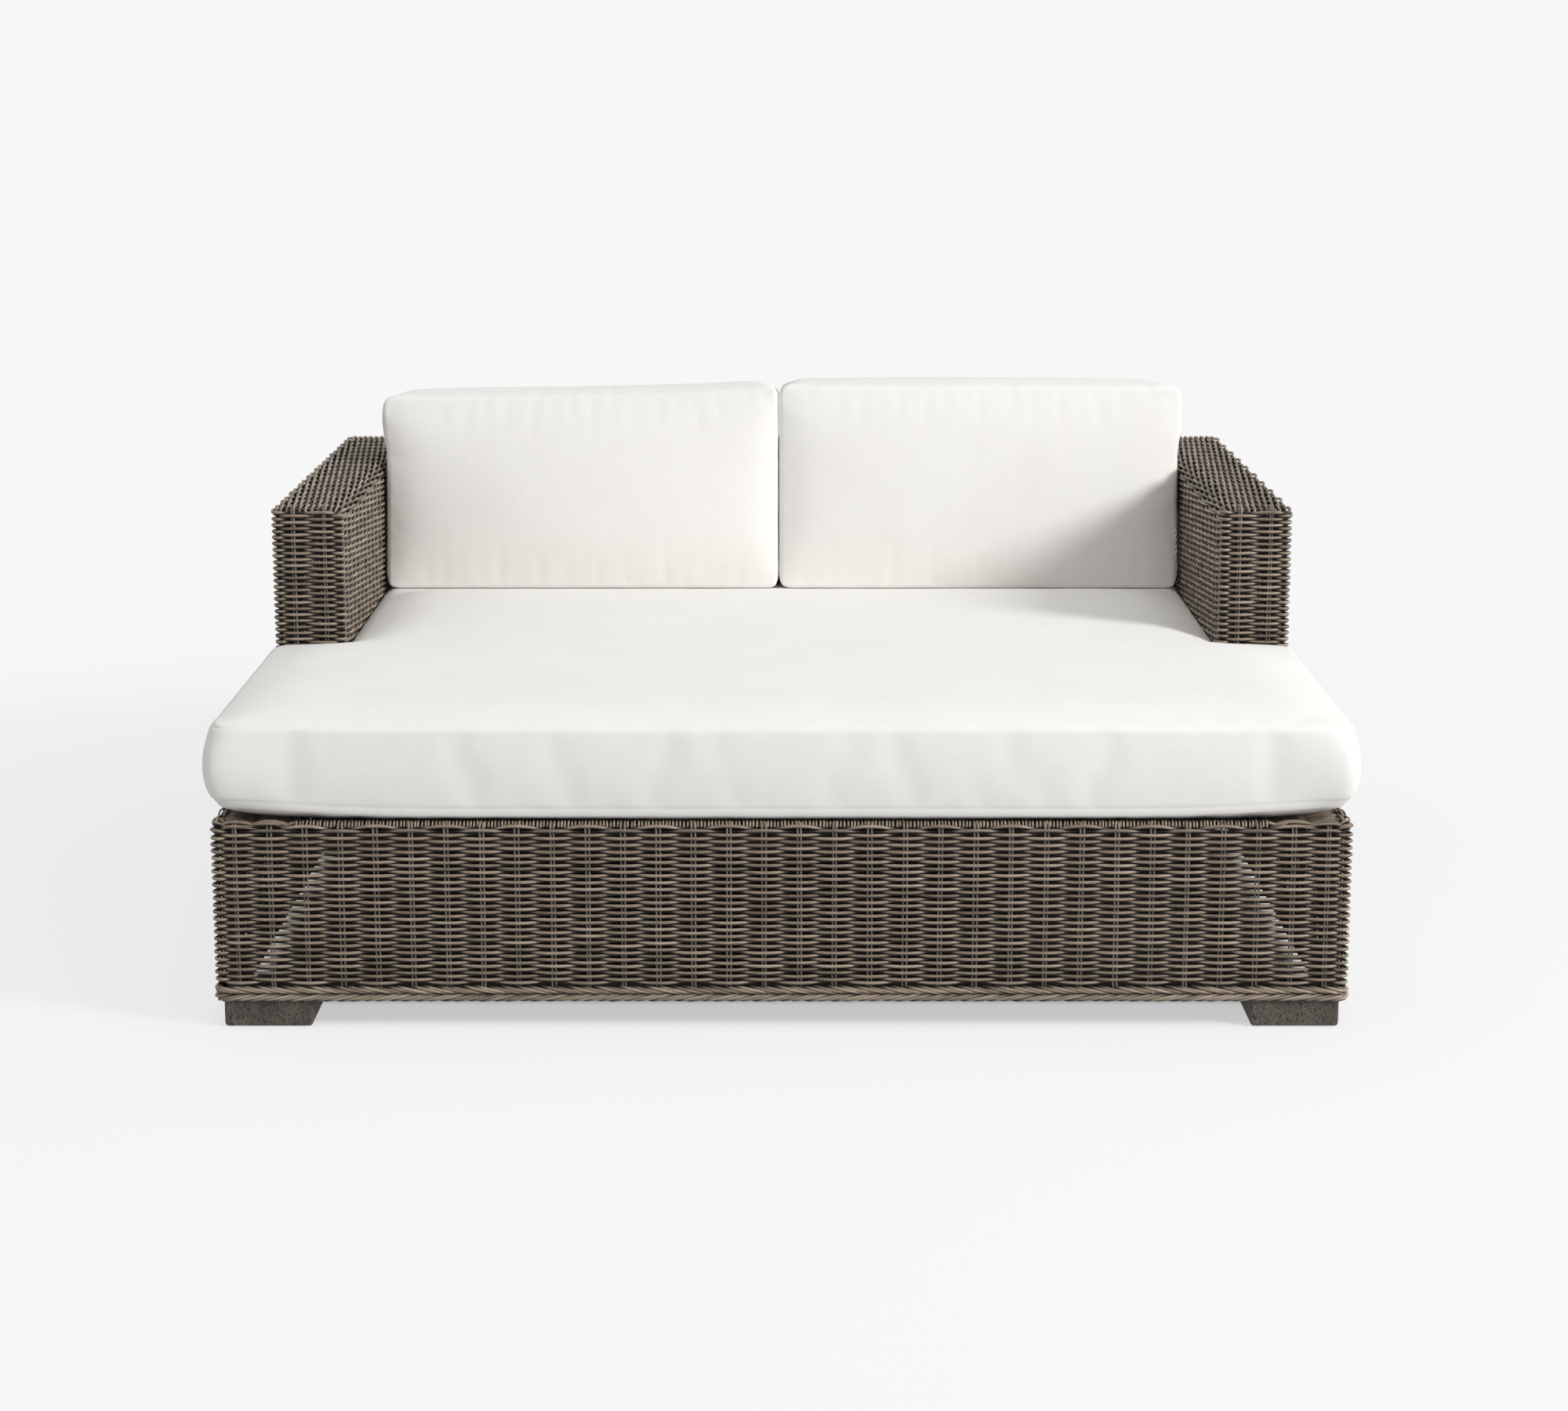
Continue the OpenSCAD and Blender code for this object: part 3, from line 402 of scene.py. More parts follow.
def markStrands(piece, oddStart, firstRow=0, firstPair=0, look=weave, turnedEnds=(), lastRowLift=0.0):
    # stores each strand's tone, place and painted shade, lets the rows wander, and settles the strands'
    # ends:
    # a turned end is (place, way, level of the strands that come from outside, level of the others)
    co = points(piece)
    pitch, wave = look["pairPitch"], look["waveDepth"]
    row = np.floor(co[:, 2] / look["rowPitch"]).astype(int)
    rows = row.max() + 1
    pair = np.floor(co[:, 0] / pitch + 0.5).astype(int)
    parity = np.where((row + oddStart) % 2 == 0, -1.0, 1.0)
    outside = parity * waveAt(co[:, 0] / pitch)
    middleY, middleZ = outside * wave, (row + 0.5) * look["rowPitch"]
    offY, offZ = co[:, 1] - middleY, co[:, 2] - middleZ
    turn = np.arctan2(offZ, -offY) / (2 * math.pi)
    for place, way, outer, inner in turnedEnds:
        near = smooth(1 + ((co[:, 0] - place) * way) / look["settle"])
        fromOutside = parity * np.sign(waveAt(np.round(place / pitch - way * 0.5))) < 0
        middleY = middleY * (1 - near) + np.where(fromOutside, outer, inner) * near
    depth = np.clip(0.5 + middleY / (2 * wave), 0, 1.2)
    lot = (row + firstRow) % len(tones)
    tone = 0.55 * tones[lot, 0] + 0.45 * tones[lot, 1 + ((pair + firstPair) // 2) % 63]
    # painted shade: darker where a strand runs behind its neighbours, and on its underside
    behind = smooth((depth - look["fade"]) / look["fadeRun"])
    below = look["underside"] * np.maximum(-offZ, 0) / look["strandRadius"]
    along = co[:, 0] + firstPair * pitch
    storeStrands(piece, tone, behind + below, along, turn, (row + firstRow) * 1.37)
    phase, (slow, quick, inAndOut) = wanders[lot], look["wanderWaves"]
    stray = 0.6 * np.sin(phase[:, 0] + along * slow) + 0.4 * np.sin(phase[:, 1] + along * quick)
    lift = np.where(row == rows - 1, 1.0, np.where(row == rows - 2, 0.55, 0.0)) * lastRowLift
    middleZ = middleZ + look["rowWander"] * stray - lift * outside
    middleY = middleY + look["depthWander"] * np.sin(phase[:, 2] + along * inAndOut)
    slim = 1.04 - look["crossing"] * np.exp(-((depth - look["crossingAt"]) / look["crossingHalf"]) ** 2)
    setPoints(piece, np.column_stack([co[:, 0], middleY + offY, middleZ + offZ * slim]))


stake = {
    "radius": 0.00175, "sides": 6,
    "gap": 0.0052,            # between the two stakes of a pair, middle to middle
    "step": 0.05,             # longest piece of a stake
    "tone": 0.35, "toneSpan": 0.5, "shadow": 0.12,
    "wander": 0.0005, "wanderWave": 9,
}


def flatStakes(name, pairs, low, high, bend=0.0, run=0.0):
    # upright stakes, two for each stake pair in the list; Z is the place along a stake, and a bend turns
    # their tops inwards
    pitch, straight = weave["pairPitch"], high - bend
    steps = max(1, round((straight - low) / stake["step"]))
    moves = [(0, 0, (straight - low) / steps)] * steps
    if bend:
        moves += [(0, 0, bend * math.pi / 8)] * 4 + [(0, 0, run)]
    parts = []
    for side in (-0.5, 0.5):
        one = extrudedStrand(name, stake["radius"], stake["sides"], moves, "Z")
        closeEnds(one)
        one.data.transform(Matrix.Translation((pairs[0] * pitch + side * stake["gap"], 0, low)))
        repeat(one, len(pairs), (pitch, 0, 0))
        parts.append(one)
    piece = joinPieces(parts, name)
    co = points(piece)
    pair = np.floor(co[:, 0] / pitch + 0.5)
    side = co[:, 0] > pair * pitch
    lot = (pair * 2 + side).astype(int) % len(tones)
    middle = pair * pitch + np.where(side, 0.5, -0.5) * stake["gap"]
    turn = np.arctan2(co[:, 0] - middle, -co[:, 1]) / (2 * math.pi)
    storeStrands(piece, stake["tone"] + tones[lot, 0] * stake["toneSpan"],
                 stake["shadow"] + stake["shadow"] * (co[:, 1] > 0), co[:, 2], turn, lot * 1.91)
    co[:, 0] += stake["wander"] * np.sin(wanders[lot, 0] + co[:, 2] * stake["wanderWave"])
    if bend:
        past = co[:, 2] - straight
        angle = np.clip(past / bend, 0, math.pi / 2)
        beyond = np.maximum(past - bend * math.pi / 2, 0)
        reach = bend - co[:, 1]
        bent = past > 0
        co[:, 2] = np.where(bent, straight + reach * np.sin(angle), co[:, 2])
        co[:, 1] = np.where(bent, bend - reach * np.cos(angle) + beyond, co[:, 1])
    setPoints(piece, co)
    return piece


def bendOver(piece, start, way, bend):
    # turns the strands' ends down past X = start; way is 1 where the strands run on towards +X
    co = points(piece)
    depth = co[:, 1] + crestDepth
    past = (co[:, 0] - start) * way
    angle = np.clip(past / bend, 0, math.pi / 2)
    radius = np.maximum(bend - depth, 0.0005)
    beyond = np.maximum(past - bend * math.pi / 2, 0)
    bent = past > 0
    co[:, 0] = np.where(bent, start + way * radius * np.sin(angle), co[:, 0])
    co[:, 1] = np.where(bent, bend - radius * np.cos(angle) + beyond - crestDepth, co[:, 1])
    setPoints(piece, co)


def roundedPath(*corners):
    # straights and arcs through (a, b, radius) corners; outwards is to the right of the way the path runs
    parts = []
    place = np.array(corners[0][:2], float)
    for k in range(1, len(corners)):
        here = np.array(corners[k][:2], float)
        before = np.array(corners[k - 1][:2], float)
        ahead = (here - before) / np.linalg.norm(here - before)
        radius = corners[k][2]
        if k == len(corners) - 1:
            parts.append((place, ahead, 0, np.linalg.norm(here - place)))
            break
        after = np.array(corners[k + 1][:2], float)
        onward = (after - here) / np.linalg.norm(after - here)
        turn = math.atan2(ahead[0] * onward[1] - ahead[1] * onward[0], ahead @ onward)
        reach = radius * math.tan(abs(turn) / 2)
        end = here - ahead * reach
        parts.append((place, ahead, 0, np.linalg.norm(end - place)))
        parts.append((end, ahead, radius * (1 if turn > 0 else -1), radius * abs(turn)))
        place = here + onward * reach
    ends = np.cumsum([part[3] for part in parts])

    def follow(s):
        where = np.zeros((len(s), 2))
        outward = np.zeros((len(s), 2))
        inside = np.minimum(np.searchsorted(ends, s, side="right"), len(parts) - 1)
        for k, (origin, ahead, bend, length) in enumerate(parts):
            chosen = inside == k
            t = (s[chosen] - (ends[k] - length))[:, None]
            right = np.array([ahead[1], -ahead[0]])
            if bend == 0:
                where[chosen] = origin + t * ahead
                outward[chosen] = right
            else:
                facing = np.cos(t / bend) * right + np.sin(t / bend) * ahead
                outward[chosen] = facing
                where[chosen] = origin - right * bend + facing * bend
        return where, outward

    follow.length = float(ends[-1])
    return follow


def spread(count, counts, places, pitch):
    # where a pair count comes along a path; past the first and last pairs it goes on at the plain pitch
    past = np.minimum(count - counts[0], 0) + np.maximum(count - counts[-1], 0)
    return np.interp(count, counts, places) + past * pitch


def numbered(path, places):
    # a route is a path, and the counts and the places of the stake pairs along it
    return path, list(range(len(places))), places


def layOnPlan(piece, route, lowZ, stretch=1.0, look=weave, corners=()):
    # rows lie level and run along a route in plan; strands stay outside round a corner post, and
    # corners are (place, half its length, how far out)
    path, counts, places = route
    co = points(piece)
    s = spread(co[:, 0] / look["pairPitch"], counts, places, look["pairPitch"])
    out = np.zeros(len(co))
    for place, half, far in corners:
        out = out + far * hump((s - place) / half)
    where, outward = path(s)
    flat = where - outward * (co[:, 1] + crestDepth - out)[:, None]
    setPoints(piece, np.column_stack([flat, lowZ + co[:, 2] * stretch]))


def layOverTop(piece, route, stretch, acrossX, mirrored=False, edge=None):
    # strands run level along X or Y, and the rows step over a section's path; an edge is the (place,
    # half width, height) of a swell that follows every second stake pair
    path, counts, places = route
    co = points(piece)
    count = co[:, 0] / weave["pairPitch"]
    along = np.interp(count, counts, places)
    s = co[:, 2] * stretch
    out = np.zeros(len(co))
    if edge:
        place, half, height = edge
        out = height * hump((s - place) / half) * np.cos(math.pi * count)
    where, outward = path(s)
    flat = where - outward * (co[:, 1] + crestDepth - out)[:, None]
    if acrossX:
        setPoints(piece, np.column_stack([along, flat]))
    else:
        setPoints(piece, np.column_stack([flat[:, 0] * (-1 if mirrored else 1), along, flat[:, 1]]))


# Stake pairs, counted round the plan: left side, front, right side, back

nearest = {"armFront": 0.025, "corner": 0.02}    # no stake pair stands nearer to these
sideY = evenly(frontY + weave["firstPair"], backY - weave["firstPair"], weave["pairPitch"])
frontX = evenly(-sideX + weave["firstPair"], sideX - weave["firstPair"], weave["pairPitch"])
sideSteps = len(sideY) - 1
frontSteps = len(frontX) + 3          # the corner posts count too
armFirst = next(k for k, y in enumerate(sideY) if y > armY + nearest["armFront"])
innerLast = max(k for k, y in enumerate(sideY) if y < innerY - nearest["corner"])
innerX = [x for x in frontX if abs(x) < armX - nearest["corner"]]
armStart, armSteps, innerSteps = sideY[armFirst], sideSteps - armFirst, innerLast - armFirst
baseRows, wallRows, innerRows = [round((high - low) / weave["rowPitch"]) for low, high in (
    (rowsZ, deckZ), (deckZ, wallTopZ), (deckZ, innerTopZ))]


def wovenPanel(name, route, start, rows, firstRow, lowZ, highZ, corners=(), lastRowLift=0.0):
    # a wall of level rows: start is the number of its first pair, counted round the plan
    oddStart = (start + firstRow) % 2
    look = shownWeave if "Front" in name else hiddenWeave if "backInner" in name else weave
    piece = flatRows(name, route[1][0], route[1][-1], rows, oddStart, look)
    markStrands(piece, oddStart, firstRow, start, look, lastRowLift=lastRowLift)
    layOnPlan(piece, route, lowZ, (highZ - lowZ) / (rows * weave["rowPitch"]), corners=corners)
    handOver(piece, "frame", "woven_strand", strandFinish, nodeName(name))


def postPlace(radius, straight):
    # how far along a path the middle of its first corner is
    return straight + radius * math.pi / 4


def roundCorners(path, place, far):
    # both corners of a symmetric path
    return [(place, place, far), (path.length - place, place, far)]


def endToEnd(y, sideEnd, radius, post, way):
    # the route along the front or the back and round its two corners, to the first pair of each side:
    # it has a pair at each end and one for each corner post
    plan = [(-sideX, sideEnd, 0), (-sideX, y, radius), (sideX, y, radius), (sideX, sideEnd, 0)]
    path = roundedPath(*plan[::way])
    middle = path.length / 2
    return numbered(path, [0.0, post] + [middle + x for x in frontX] + [path.length - post, path.length])


def straightPath(x, first, last, way):
    # along a side in plan, facing +X where way is 1, and -X where it is -1
    return roundedPath(*[(x, first, 0), (x, last, 0)][::way])


print("stage: base")

base = {
    "cornerOut": 0.0036,      # strands bulge this far at a corner
    "topGap": 0.001,          # top of the highest row, below the rim
    "lastRowLift": 0.0036,    # the last row of the front swings out over the stakes' bends
}
frontPost = postPlace(weave["frontCorner"], weave["firstPair"] - weave["frontCorner"])
backPost = postPlace(weave["rearCorner"], weave["firstPair"] - weave["rearCorner"])
frontRoute = endToEnd(frontY, sideY[0], weave["frontCorner"], frontPost, 1)
backRoute = endToEnd(backY, sideY[-1], weave["rearCorner"], backPost, -1)
sidePlaces = [y - sideY[0] for y in sideY]
leftRoute = numbered(straightPath(-sideX, sideY[0], sideY[-1], -1), sidePlaces)
rightRoute = numbered(straightPath(sideX, sideY[0], sideY[-1], 1), sidePlaces)
frontCorners = roundCorners(frontRoute[0], frontPost, base["cornerOut"])
backCorners = roundCorners(backRoute[0], backPost, base["cornerOut"])
ring = {"left": 1, "front": sideSteps + 1, "right": sideSteps + frontSteps + 1,
        "back": 2 * sideSteps + frontSteps + 1}
baseTop = deckZ + base["topGap"]
for side, route, corners, topZ, lift in (
        ("Front", frontRoute, frontCorners, baseTop, base["lastRowLift"]),
        ("Back", backRoute, backCorners, deckZ, 0.0),
        ("Left", leftRoute, (), baseTop, 0.0), ("Right", rightRoute, (), baseTop, 0.0)):
    wovenPanel("base" + side + "Weave", route, ring[side.lower()], baseRows, 0, rowsZ, topZ, corners, lift)

rimLift = {"height": 0.0080, "near": 0.021, "far": 0.046,   # the deck rises towards the rim
           "rear": armY + 0.004, "rearRun": 0.02}           # but only in front of the arms


def riseTo(co):
    # how far a point of the deck, or what lies on it, rises near the front and the sides
    gap = np.minimum(co[:, 1] - frontY, sideX - abs(co[:, 0]))
    rise = rimLift["height"] * smooth((rimLift["far"] - gap) / (rimLift["far"] - rimLift["near"]))
    return rise * smooth((rimLift["rear"] - co[:, 1]) / rimLift["rearRun"])


def liftRim(piece):
    co = points(piece)
    co[:, 2] += riseTo(co)
    setPoints(piece, co)


def flipSide(piece, sign):
    # to the other side where sign is -1
    co = points(piece)
    co[:, 0] *= sign
    setPoints(piece, co)


print("stage: surround")

arm = {
    "cornerOut": 0.0009,
    "frontTop": 0.009,                     # the front's top row is this far below the top
    "pairIn": 0.0337, "pairOut": 0.0369,   # the front's two pairs, from its inner and its outer side
    "lastRowLift": 0.0015,
    # where the top turns down, from its front and its rear edge, and what topPanel's bends hold
    "frontBend": (0.0195, -1, 0.010, 0.010, -0.0035, 0.0045),
    "rearBend": (0.0085, 1, 0.008, 0.006, -0.003, 0.003),
    "edgeHalf": 0.016, "edgeHeight": 0.0032,
    "endOut": 0.004,                       # the back's top runs this far into the corners
}
armPlaces = [y - armStart for y in sideY[armFirst:]]
wovenPanel("backOuterWeave", backRoute, ring["back"], wallRows, baseRows, deckZ, wallTopZ, backCorners)
for side, sign, start in (("Left", -1, ring["left"]), ("Right", 1, ring["right"] + armFirst)):
    route = numbered(straightPath(sign * sideX, armStart, sideY[-1], sign), armPlaces)
    wovenPanel("arm" + side + "OuterWeave", route, start, wallRows, baseRows, baseTop, wallTopZ)

# Arm fronts run from the inner side's first pair round to the outer side's
frontRows = round((armTopZ - arm["frontTop"] - deckZ) / weave["rowPitch"])
armRing = {"leftFront": ring["left"] + armSteps}
armRing["leftInner"] = armRing["leftFront"] + 5
armRing["backInner"] = armRing["leftInner"] + innerSteps + 3
armRing["rightInner"] = armRing["backInner"] + len(innerX) - 1 + 3
armRing["rightFront"] = armRing["rightInner"] + innerSteps
armFrontRoutes = []
for side, sign in (("Left", -1), ("Right", 1)):
    corners = [(sign * armX, armStart, 0), (sign * armX, armY, weave["armCorner"]),
               (sign * sideX, armY, weave["armCorner"]), (sign * sideX, armStart, 0)]
    path = roundedPath(*corners[::sign])
    straight = armStart - armY - weave["armCorner"]
    arc = weave["armCorner"] * math.pi / 2
    inner = [straight + arc + (x - armX - weave["armCorner"])
             for x in (armX + arm["pairIn"], sideX - arm["pairOut"])]
    post = postPlace(weave["armCorner"], straight)
    places = [0.0, post] + inner + [path.length - post, path.length]
    route = numbered(path, places if sign > 0 else [path.length - s for s in places[::-1]])
    wovenPanel("arm" + side + "FrontWeave", route, armRing[side.lower() + "Front"], frontRows, baseRows,
               baseTop, deckZ + frontRows * weave["rowPitch"],
               roundCorners(path, post, arm["cornerOut"]), arm["lastRowLift"])
    armFrontRoutes.append(route)

# Inner faces meet in the corners, one and a half pairs past their last ones
endX, endY = armX + crestDepth, innerY + crestDepth
innerPlaces = [y - armStart for y in sideY[armFirst:innerLast + 1]] + [endY - armStart]
innerCounts = list(range(innerSteps + 1)) + [innerSteps + 1.5]
innerRoutes = {
    "Left": (straightPath(-armX, armStart, endY, 1), innerCounts, innerPlaces),
    "Right": (straightPath(armX, armStart, endY, -1), [-1.5] + innerCounts[:-1],
              [endY - armStart - s for s in innerPlaces[::-1]]),
    "Back": (roundedPath((-endX, innerY, 0), (endX, innerY, 0)),
             [-1.5] + list(range(len(innerX))) + [len(innerX) + 0.5],
             [0.0] + [x + endX for x in innerX] + [2 * endX])}
for name, side in (("armLeft", "Left"), ("armRight", "Right"), ("back", "Back")):
    wovenPanel(name + "InnerWeave", innerRoutes[side], armRing[side.lower() + "Inner"], innerRows, baseRows,
               deckZ, innerTopZ)

print("stage: tops, deck and ledges")


def topPanel(name, route, oddStart, rows, firstRow, bends, acrossX, node=None, mirrored=False, look=weave,
             edge=None):
    # a top or deck: bends are the (pair count, way, radius, drop, outer and inner level) at which the
    # strands turn down over an edge
    path, counts, places = route
    pitch = look["pairPitch"]
    low, high = counts[0], counts[-1]
    for count, way, radius, drop, outer, inner in bends:
        end = count + way * (radius * math.pi / 2 + drop) / pitch
        low, high = min(low, end), max(high, end)
    piece = flatRows(name, low, high, rows, oddStart, look)
    markStrands(piece, oddStart, firstRow, 0, look, [
        (count * pitch, way, outer, inner) for count, way, radius, drop, outer, inner in bends])
    for count, way, radius, drop, outer, inner in bends:
        bendOver(piece, count * pitch, way, radius)
    layOverTop(piece, route, path.length / (rows * look["rowPitch"]), acrossX, mirrored, edge)
    handOver(piece, "frame", "woven_strand", strandFinish, node or nodeName(name))
    return piece


def archPath(outer, inner):
    # over the top of an arm or the back, from its outer wall to its inner one
    return roundedPath((outer, wallTopZ, 0), (outer, armTopZ, weave["edgeOuter"]),
                       (inner, armTopZ, weave["edgeInner"]), (inner, innerTopZ, 0))


def topRoute(path, first, places, last):
    # the pairs of a top, with its two ends
    ahead, onward = [gap / weave["pairPitch"] for gap in (places[0] - first, last - places[-1])]
    return path, [-ahead] + list(range(len(places))) + [len(places) - 1 + onward], [first] + places + [last]


armArch, backArch = archPath(sideX, armX), archPath(backY, innerY)
archRows = round(armArch.length / weave["rowPitch"])
armTopRoute = topRoute(armArch, armY, sideY[armFirst:], backY)
backTopRoute = topRoute(backArch, -armX - arm["endOut"], innerX, armX + arm["endOut"])
armBends = [(float(np.interp(edge - bend[1] * bend[0], armTopRoute[2], armTopRoute[1])),) + bend[1:]
            for edge, bend in ((armY, arm["frontBend"]), (backY, arm["rearBend"]))]
outerEdge = wallTopZ - armTopZ + weave["edgeOuter"] + weave["edgeOuter"] * math.pi / 4
for side, mirrored in (("Left", True), ("Right", False)):
    topPanel("arm" + side + "TopWeave", armTopRoute, int(mirrored), archRows, 200 + 40 * mirrored, armBends,
             False, mirrored=mirrored, look=shownWeave, edge=(outerEdge, arm["edgeHalf"], arm["edgeHeight"]))
topPanel("backTopWeave", backTopRoute, 0, archRows, 320, [], True)

# Deck strands run from the back to the front, in two halves
deck = {"front": 0.030, "stakesIn": 0.02}
deckY = evenly(frontY + weave["firstPair"], innerY - weave["firstPair"], weave["pairPitch"])
deckPlaces = [frontY + deck["front"]] + deckY + [innerY]
deckCounts = [(deck["front"] - weave["firstPair"]) / weave["pairPitch"]] + list(range(len(deckY)))
deckCounts.append(len(deckY) - 1 + weave["firstPair"] / weave["pairPitch"])
deckRows = round(armX / weave["rowPitch"])
for side, first, last in (("Left", -armX, 0.0), ("Right", 0.0, armX)):
    path = roundedPath((last, deckZ, 0), (first, deckZ, 0))
    liftRim(topPanel("deck" + side + "Weave", (path, deckCounts, deckPlaces), 0, deckRows,
                     60 if last else 10, [], False, "deck_weave", look=deckWeave))

# Their ends lie over the front rim in a row: each rises with the rim and bends down in front
comb = {"radius": 0.0016, "from": 0.037, "bendAt": 0.0165, "bend": 0.006, "down": 0.0012, "sunk": 0.0018,
        "shadeAt": 0.016, "shadeRun": 0.009, "shade": (0.05, 0.6), "wander": 0.0005, "rise": 0.0004}


def combPlace(step):
    # middle of a deck strand's end: how far behind the crest of the front, and its height
    if step <= 3:
        gap = comb["from"] + (comb["bendAt"] - comb["from"]) * step / 3
        return gap, float(riseTo(np.array([[0.0, frontY + gap, 0.0]]))[0]) - comb["sunk"]
    angle = math.radians(30) * min(step - 3, 3)
    height = rimLift["height"] - comb["sunk"] - comb["bend"] * (1 - math.cos(angle))
    return comb["bendAt"] - comb["bend"] * math.sin(angle), height - comb["down"] * (step > 6)


combPath = [combPlace(step) for step in range(8)]
combMoves = [(a[0] - b[0], 0, b[1] - a[1]) for a, b in zip(combPath, combPath[1:])]
tick = extrudedStrand("rimEnds", comb["radius"], 6, combMoves, "X")
closeEnds(tick)
co = points(tick)
perTick, ticks = len(co), 2 * deckRows - 1
along = co[:, 0]
turn = np.arctan2(co[:, 1], co[:, 2]) / (2 * math.pi)
repeat(tick, ticks, (0, weave["rowPitch"], 0))
co = points(tick)
number = np.repeat(np.arange(ticks), perTick)
lot = number % len(tones)
acrossTick = co[:, 1] - number * weave["rowPitch"]
place = (number - (ticks - 1) / 2) * armX / deckRows
shiftX = comb["wander"] * np.sin(wanders[lot, 0]) + acrossTick
tickZ = deckZ + combPath[0][1] + co[:, 2] + comb["rise"] * np.sin(wanders[lot, 2])
setPoints(tick, np.column_stack([place + shiftX, frontY + comb["from"] - co[:, 0], tickZ]))
shadow = comb["shade"][0] + comb["shade"][1] * (1 - smooth((along - comb["shadeAt"]) / comb["shadeRun"]))
storeStrands(tick, 0.5 + 0.5 * tones[lot, 3], np.tile(shadow, ticks), np.tile(along, ticks),
             np.tile(turn, ticks), number * 1.37)
handOver(tick, "frame", "woven_strand", strandFinish, "deck_weave")

# Ledge strands run across and turn down over the sides
ledge = {"rear": armY + 0.004, "front": frontY + 0.010, "innerEnd": armX - 0.004,
         "bend": (sideX - 0.0125, 1, 0.006, 0.002, 0.001, 0.003), "stakesFront": frontY + 0.016}
lastPair = sideX - weave["firstPair"]
ledgeX = [ledge["innerEnd"], lastPair - weave["pairPitch"], lastPair, sideX]
ledgeCounts = [1 - (ledgeX[1] - ledgeX[0]) / weave["pairPitch"], 1, 2,
               2 + weave["firstPair"] / weave["pairPitch"]]
ledgeRows = round((ledge["rear"] - ledge["front"]) / weave["rowPitch"])
ledgeRoute = (roundedPath((ledge["rear"], deckZ, 0), (ledge["front"], deckZ, 0)), ledgeCounts, ledgeX)
ledgeBend = (float(np.interp(ledge["bend"][0], ledgeX, ledgeCounts)),) + ledge["bend"][1:]
for side, sign in (("Left", -1), ("Right", 1)):
    piece = topPanel("ledge" + side + "Weave", ledgeRoute, 0, ledgeRows, 120, [ledgeBend], True)
    flipSide(piece, sign)
    liftRim(piece)
    faceOutwards(piece)

# A few rows run on along the ledges' edges and round the front corners, and roll over the rim
rim = {"rows": 4, "radius": 0.0072, "flat": 0.0090, "below": 0.0004, "squeeze": 0.62,
       "frontEnd": armX + 0.010, "rearEnd": armY + 0.010,
       "dive": 0.016, "diveDepth": 0.006,          # the rows' ends go down behind the arm
       "bulge": 0.0015, "bulgeHalf": 0.032}        # round the corner post
for side, sign in (("Left", -1), ("Right", 1)):
    plan = [(-sideX, rim["rearEnd"], 0), (-sideX, frontY, weave["frontCorner"]),
            (-rim["frontEnd"], frontY, 0)]
    path = roundedPath(*(plan if sign < 0 else [(-x, y, r) for x, y, r in plan[::-1]]))
    rollOver = roundedPath((0, deckZ - rim["radius"] - rim["below"], 0), (0, deckZ, rim["radius"]),
                           (-rim["radius"] - rim["flat"], deckZ, 0))
    onSide = [rim["rearEnd"] - y for y in sideY[::-1] if y < armY]
    postAt = rim["rearEnd"] - frontY - weave["firstPair"] + frontPost
    places = onSide + [postAt, path.length - (-rim["frontEnd"] - frontX[0])]
    start = ring["left"] + sideSteps - len(onSide) + 1
    if sign > 0:
        places = [path.length - s for s in places[::-1]]
        postAt = path.length - postAt
        start = ring["front"] + len(frontX) + 1
    counts = list(range(len(places)))
    oddStart = (start + baseRows - 1) % 2
    ahead, onward = -places[0] / weave["pairPitch"], (path.length - places[-1]) / weave["pairPitch"]
    piece = flatRows("ledge" + side + "Rim", ahead, counts[-1] + onward, rim["rows"], oddStart)
    markStrands(piece, oddStart, baseRows - 1, start)
    co = points(piece)
    s = spread(co[:, 0] / weave["pairPitch"], counts, places, weave["pairPitch"])
    where, outward = path(s)
    tipGap = (s if sign > 0 else path.length - s) / rim["dive"]
    inwards = ((co[:, 1] + crestDepth) * rim["squeeze"] + rim["diveDepth"] * (1 - smooth(tipGap))
               - rim["bulge"] * hump((s - postAt) / rim["bulgeHalf"]))
    over, facing = rollOver(co[:, 2] * rollOver.length / (rim["rows"] * weave["rowPitch"]))
    section = over - facing * inwards[:, None]
    setPoints(piece, np.column_stack([where + outward * section[:, :1], section[:, 1] + rimLift["height"]]))
    handOver(piece, "frame", "woven_strand", strandFinish, "ledge_" + side.lower() + "_weave")

print("stage: stakes")

stakeTops = {
    "rim": deckZ + 0.0048,        # middle of the stakes where they bend back over the rim
    "armFront": armTopZ + 0.0006,
    "outer": wallTopZ, "inner": innerTopZ,
    "bend": 0.006, "run": 0.005, "armRun": 0.010,
    "foot": borderZ + 0.012,
    "cut": 0.002,                 # the tops' stakes end this far from the ends of their arch
}


def standing(name, route, pairs, low, high, bend=0.0, run=0.0):
    piece = flatStakes(name, pairs, low, high, bend, run)
    layOnPlan(piece, route, 0.0)
    return piece


def lying(name, route, pairs, low, high, acrossX, mirrored=False):
    piece = flatStakes(name, pairs, low, high)
    layOverTop(piece, route, 1.0, acrossX, mirrored)
    return piece


def handStakes(name, parts, *nodes):
    handOver(joinPieces(parts, name), "frame", "stake_strand", stakeFinish, *nodes)


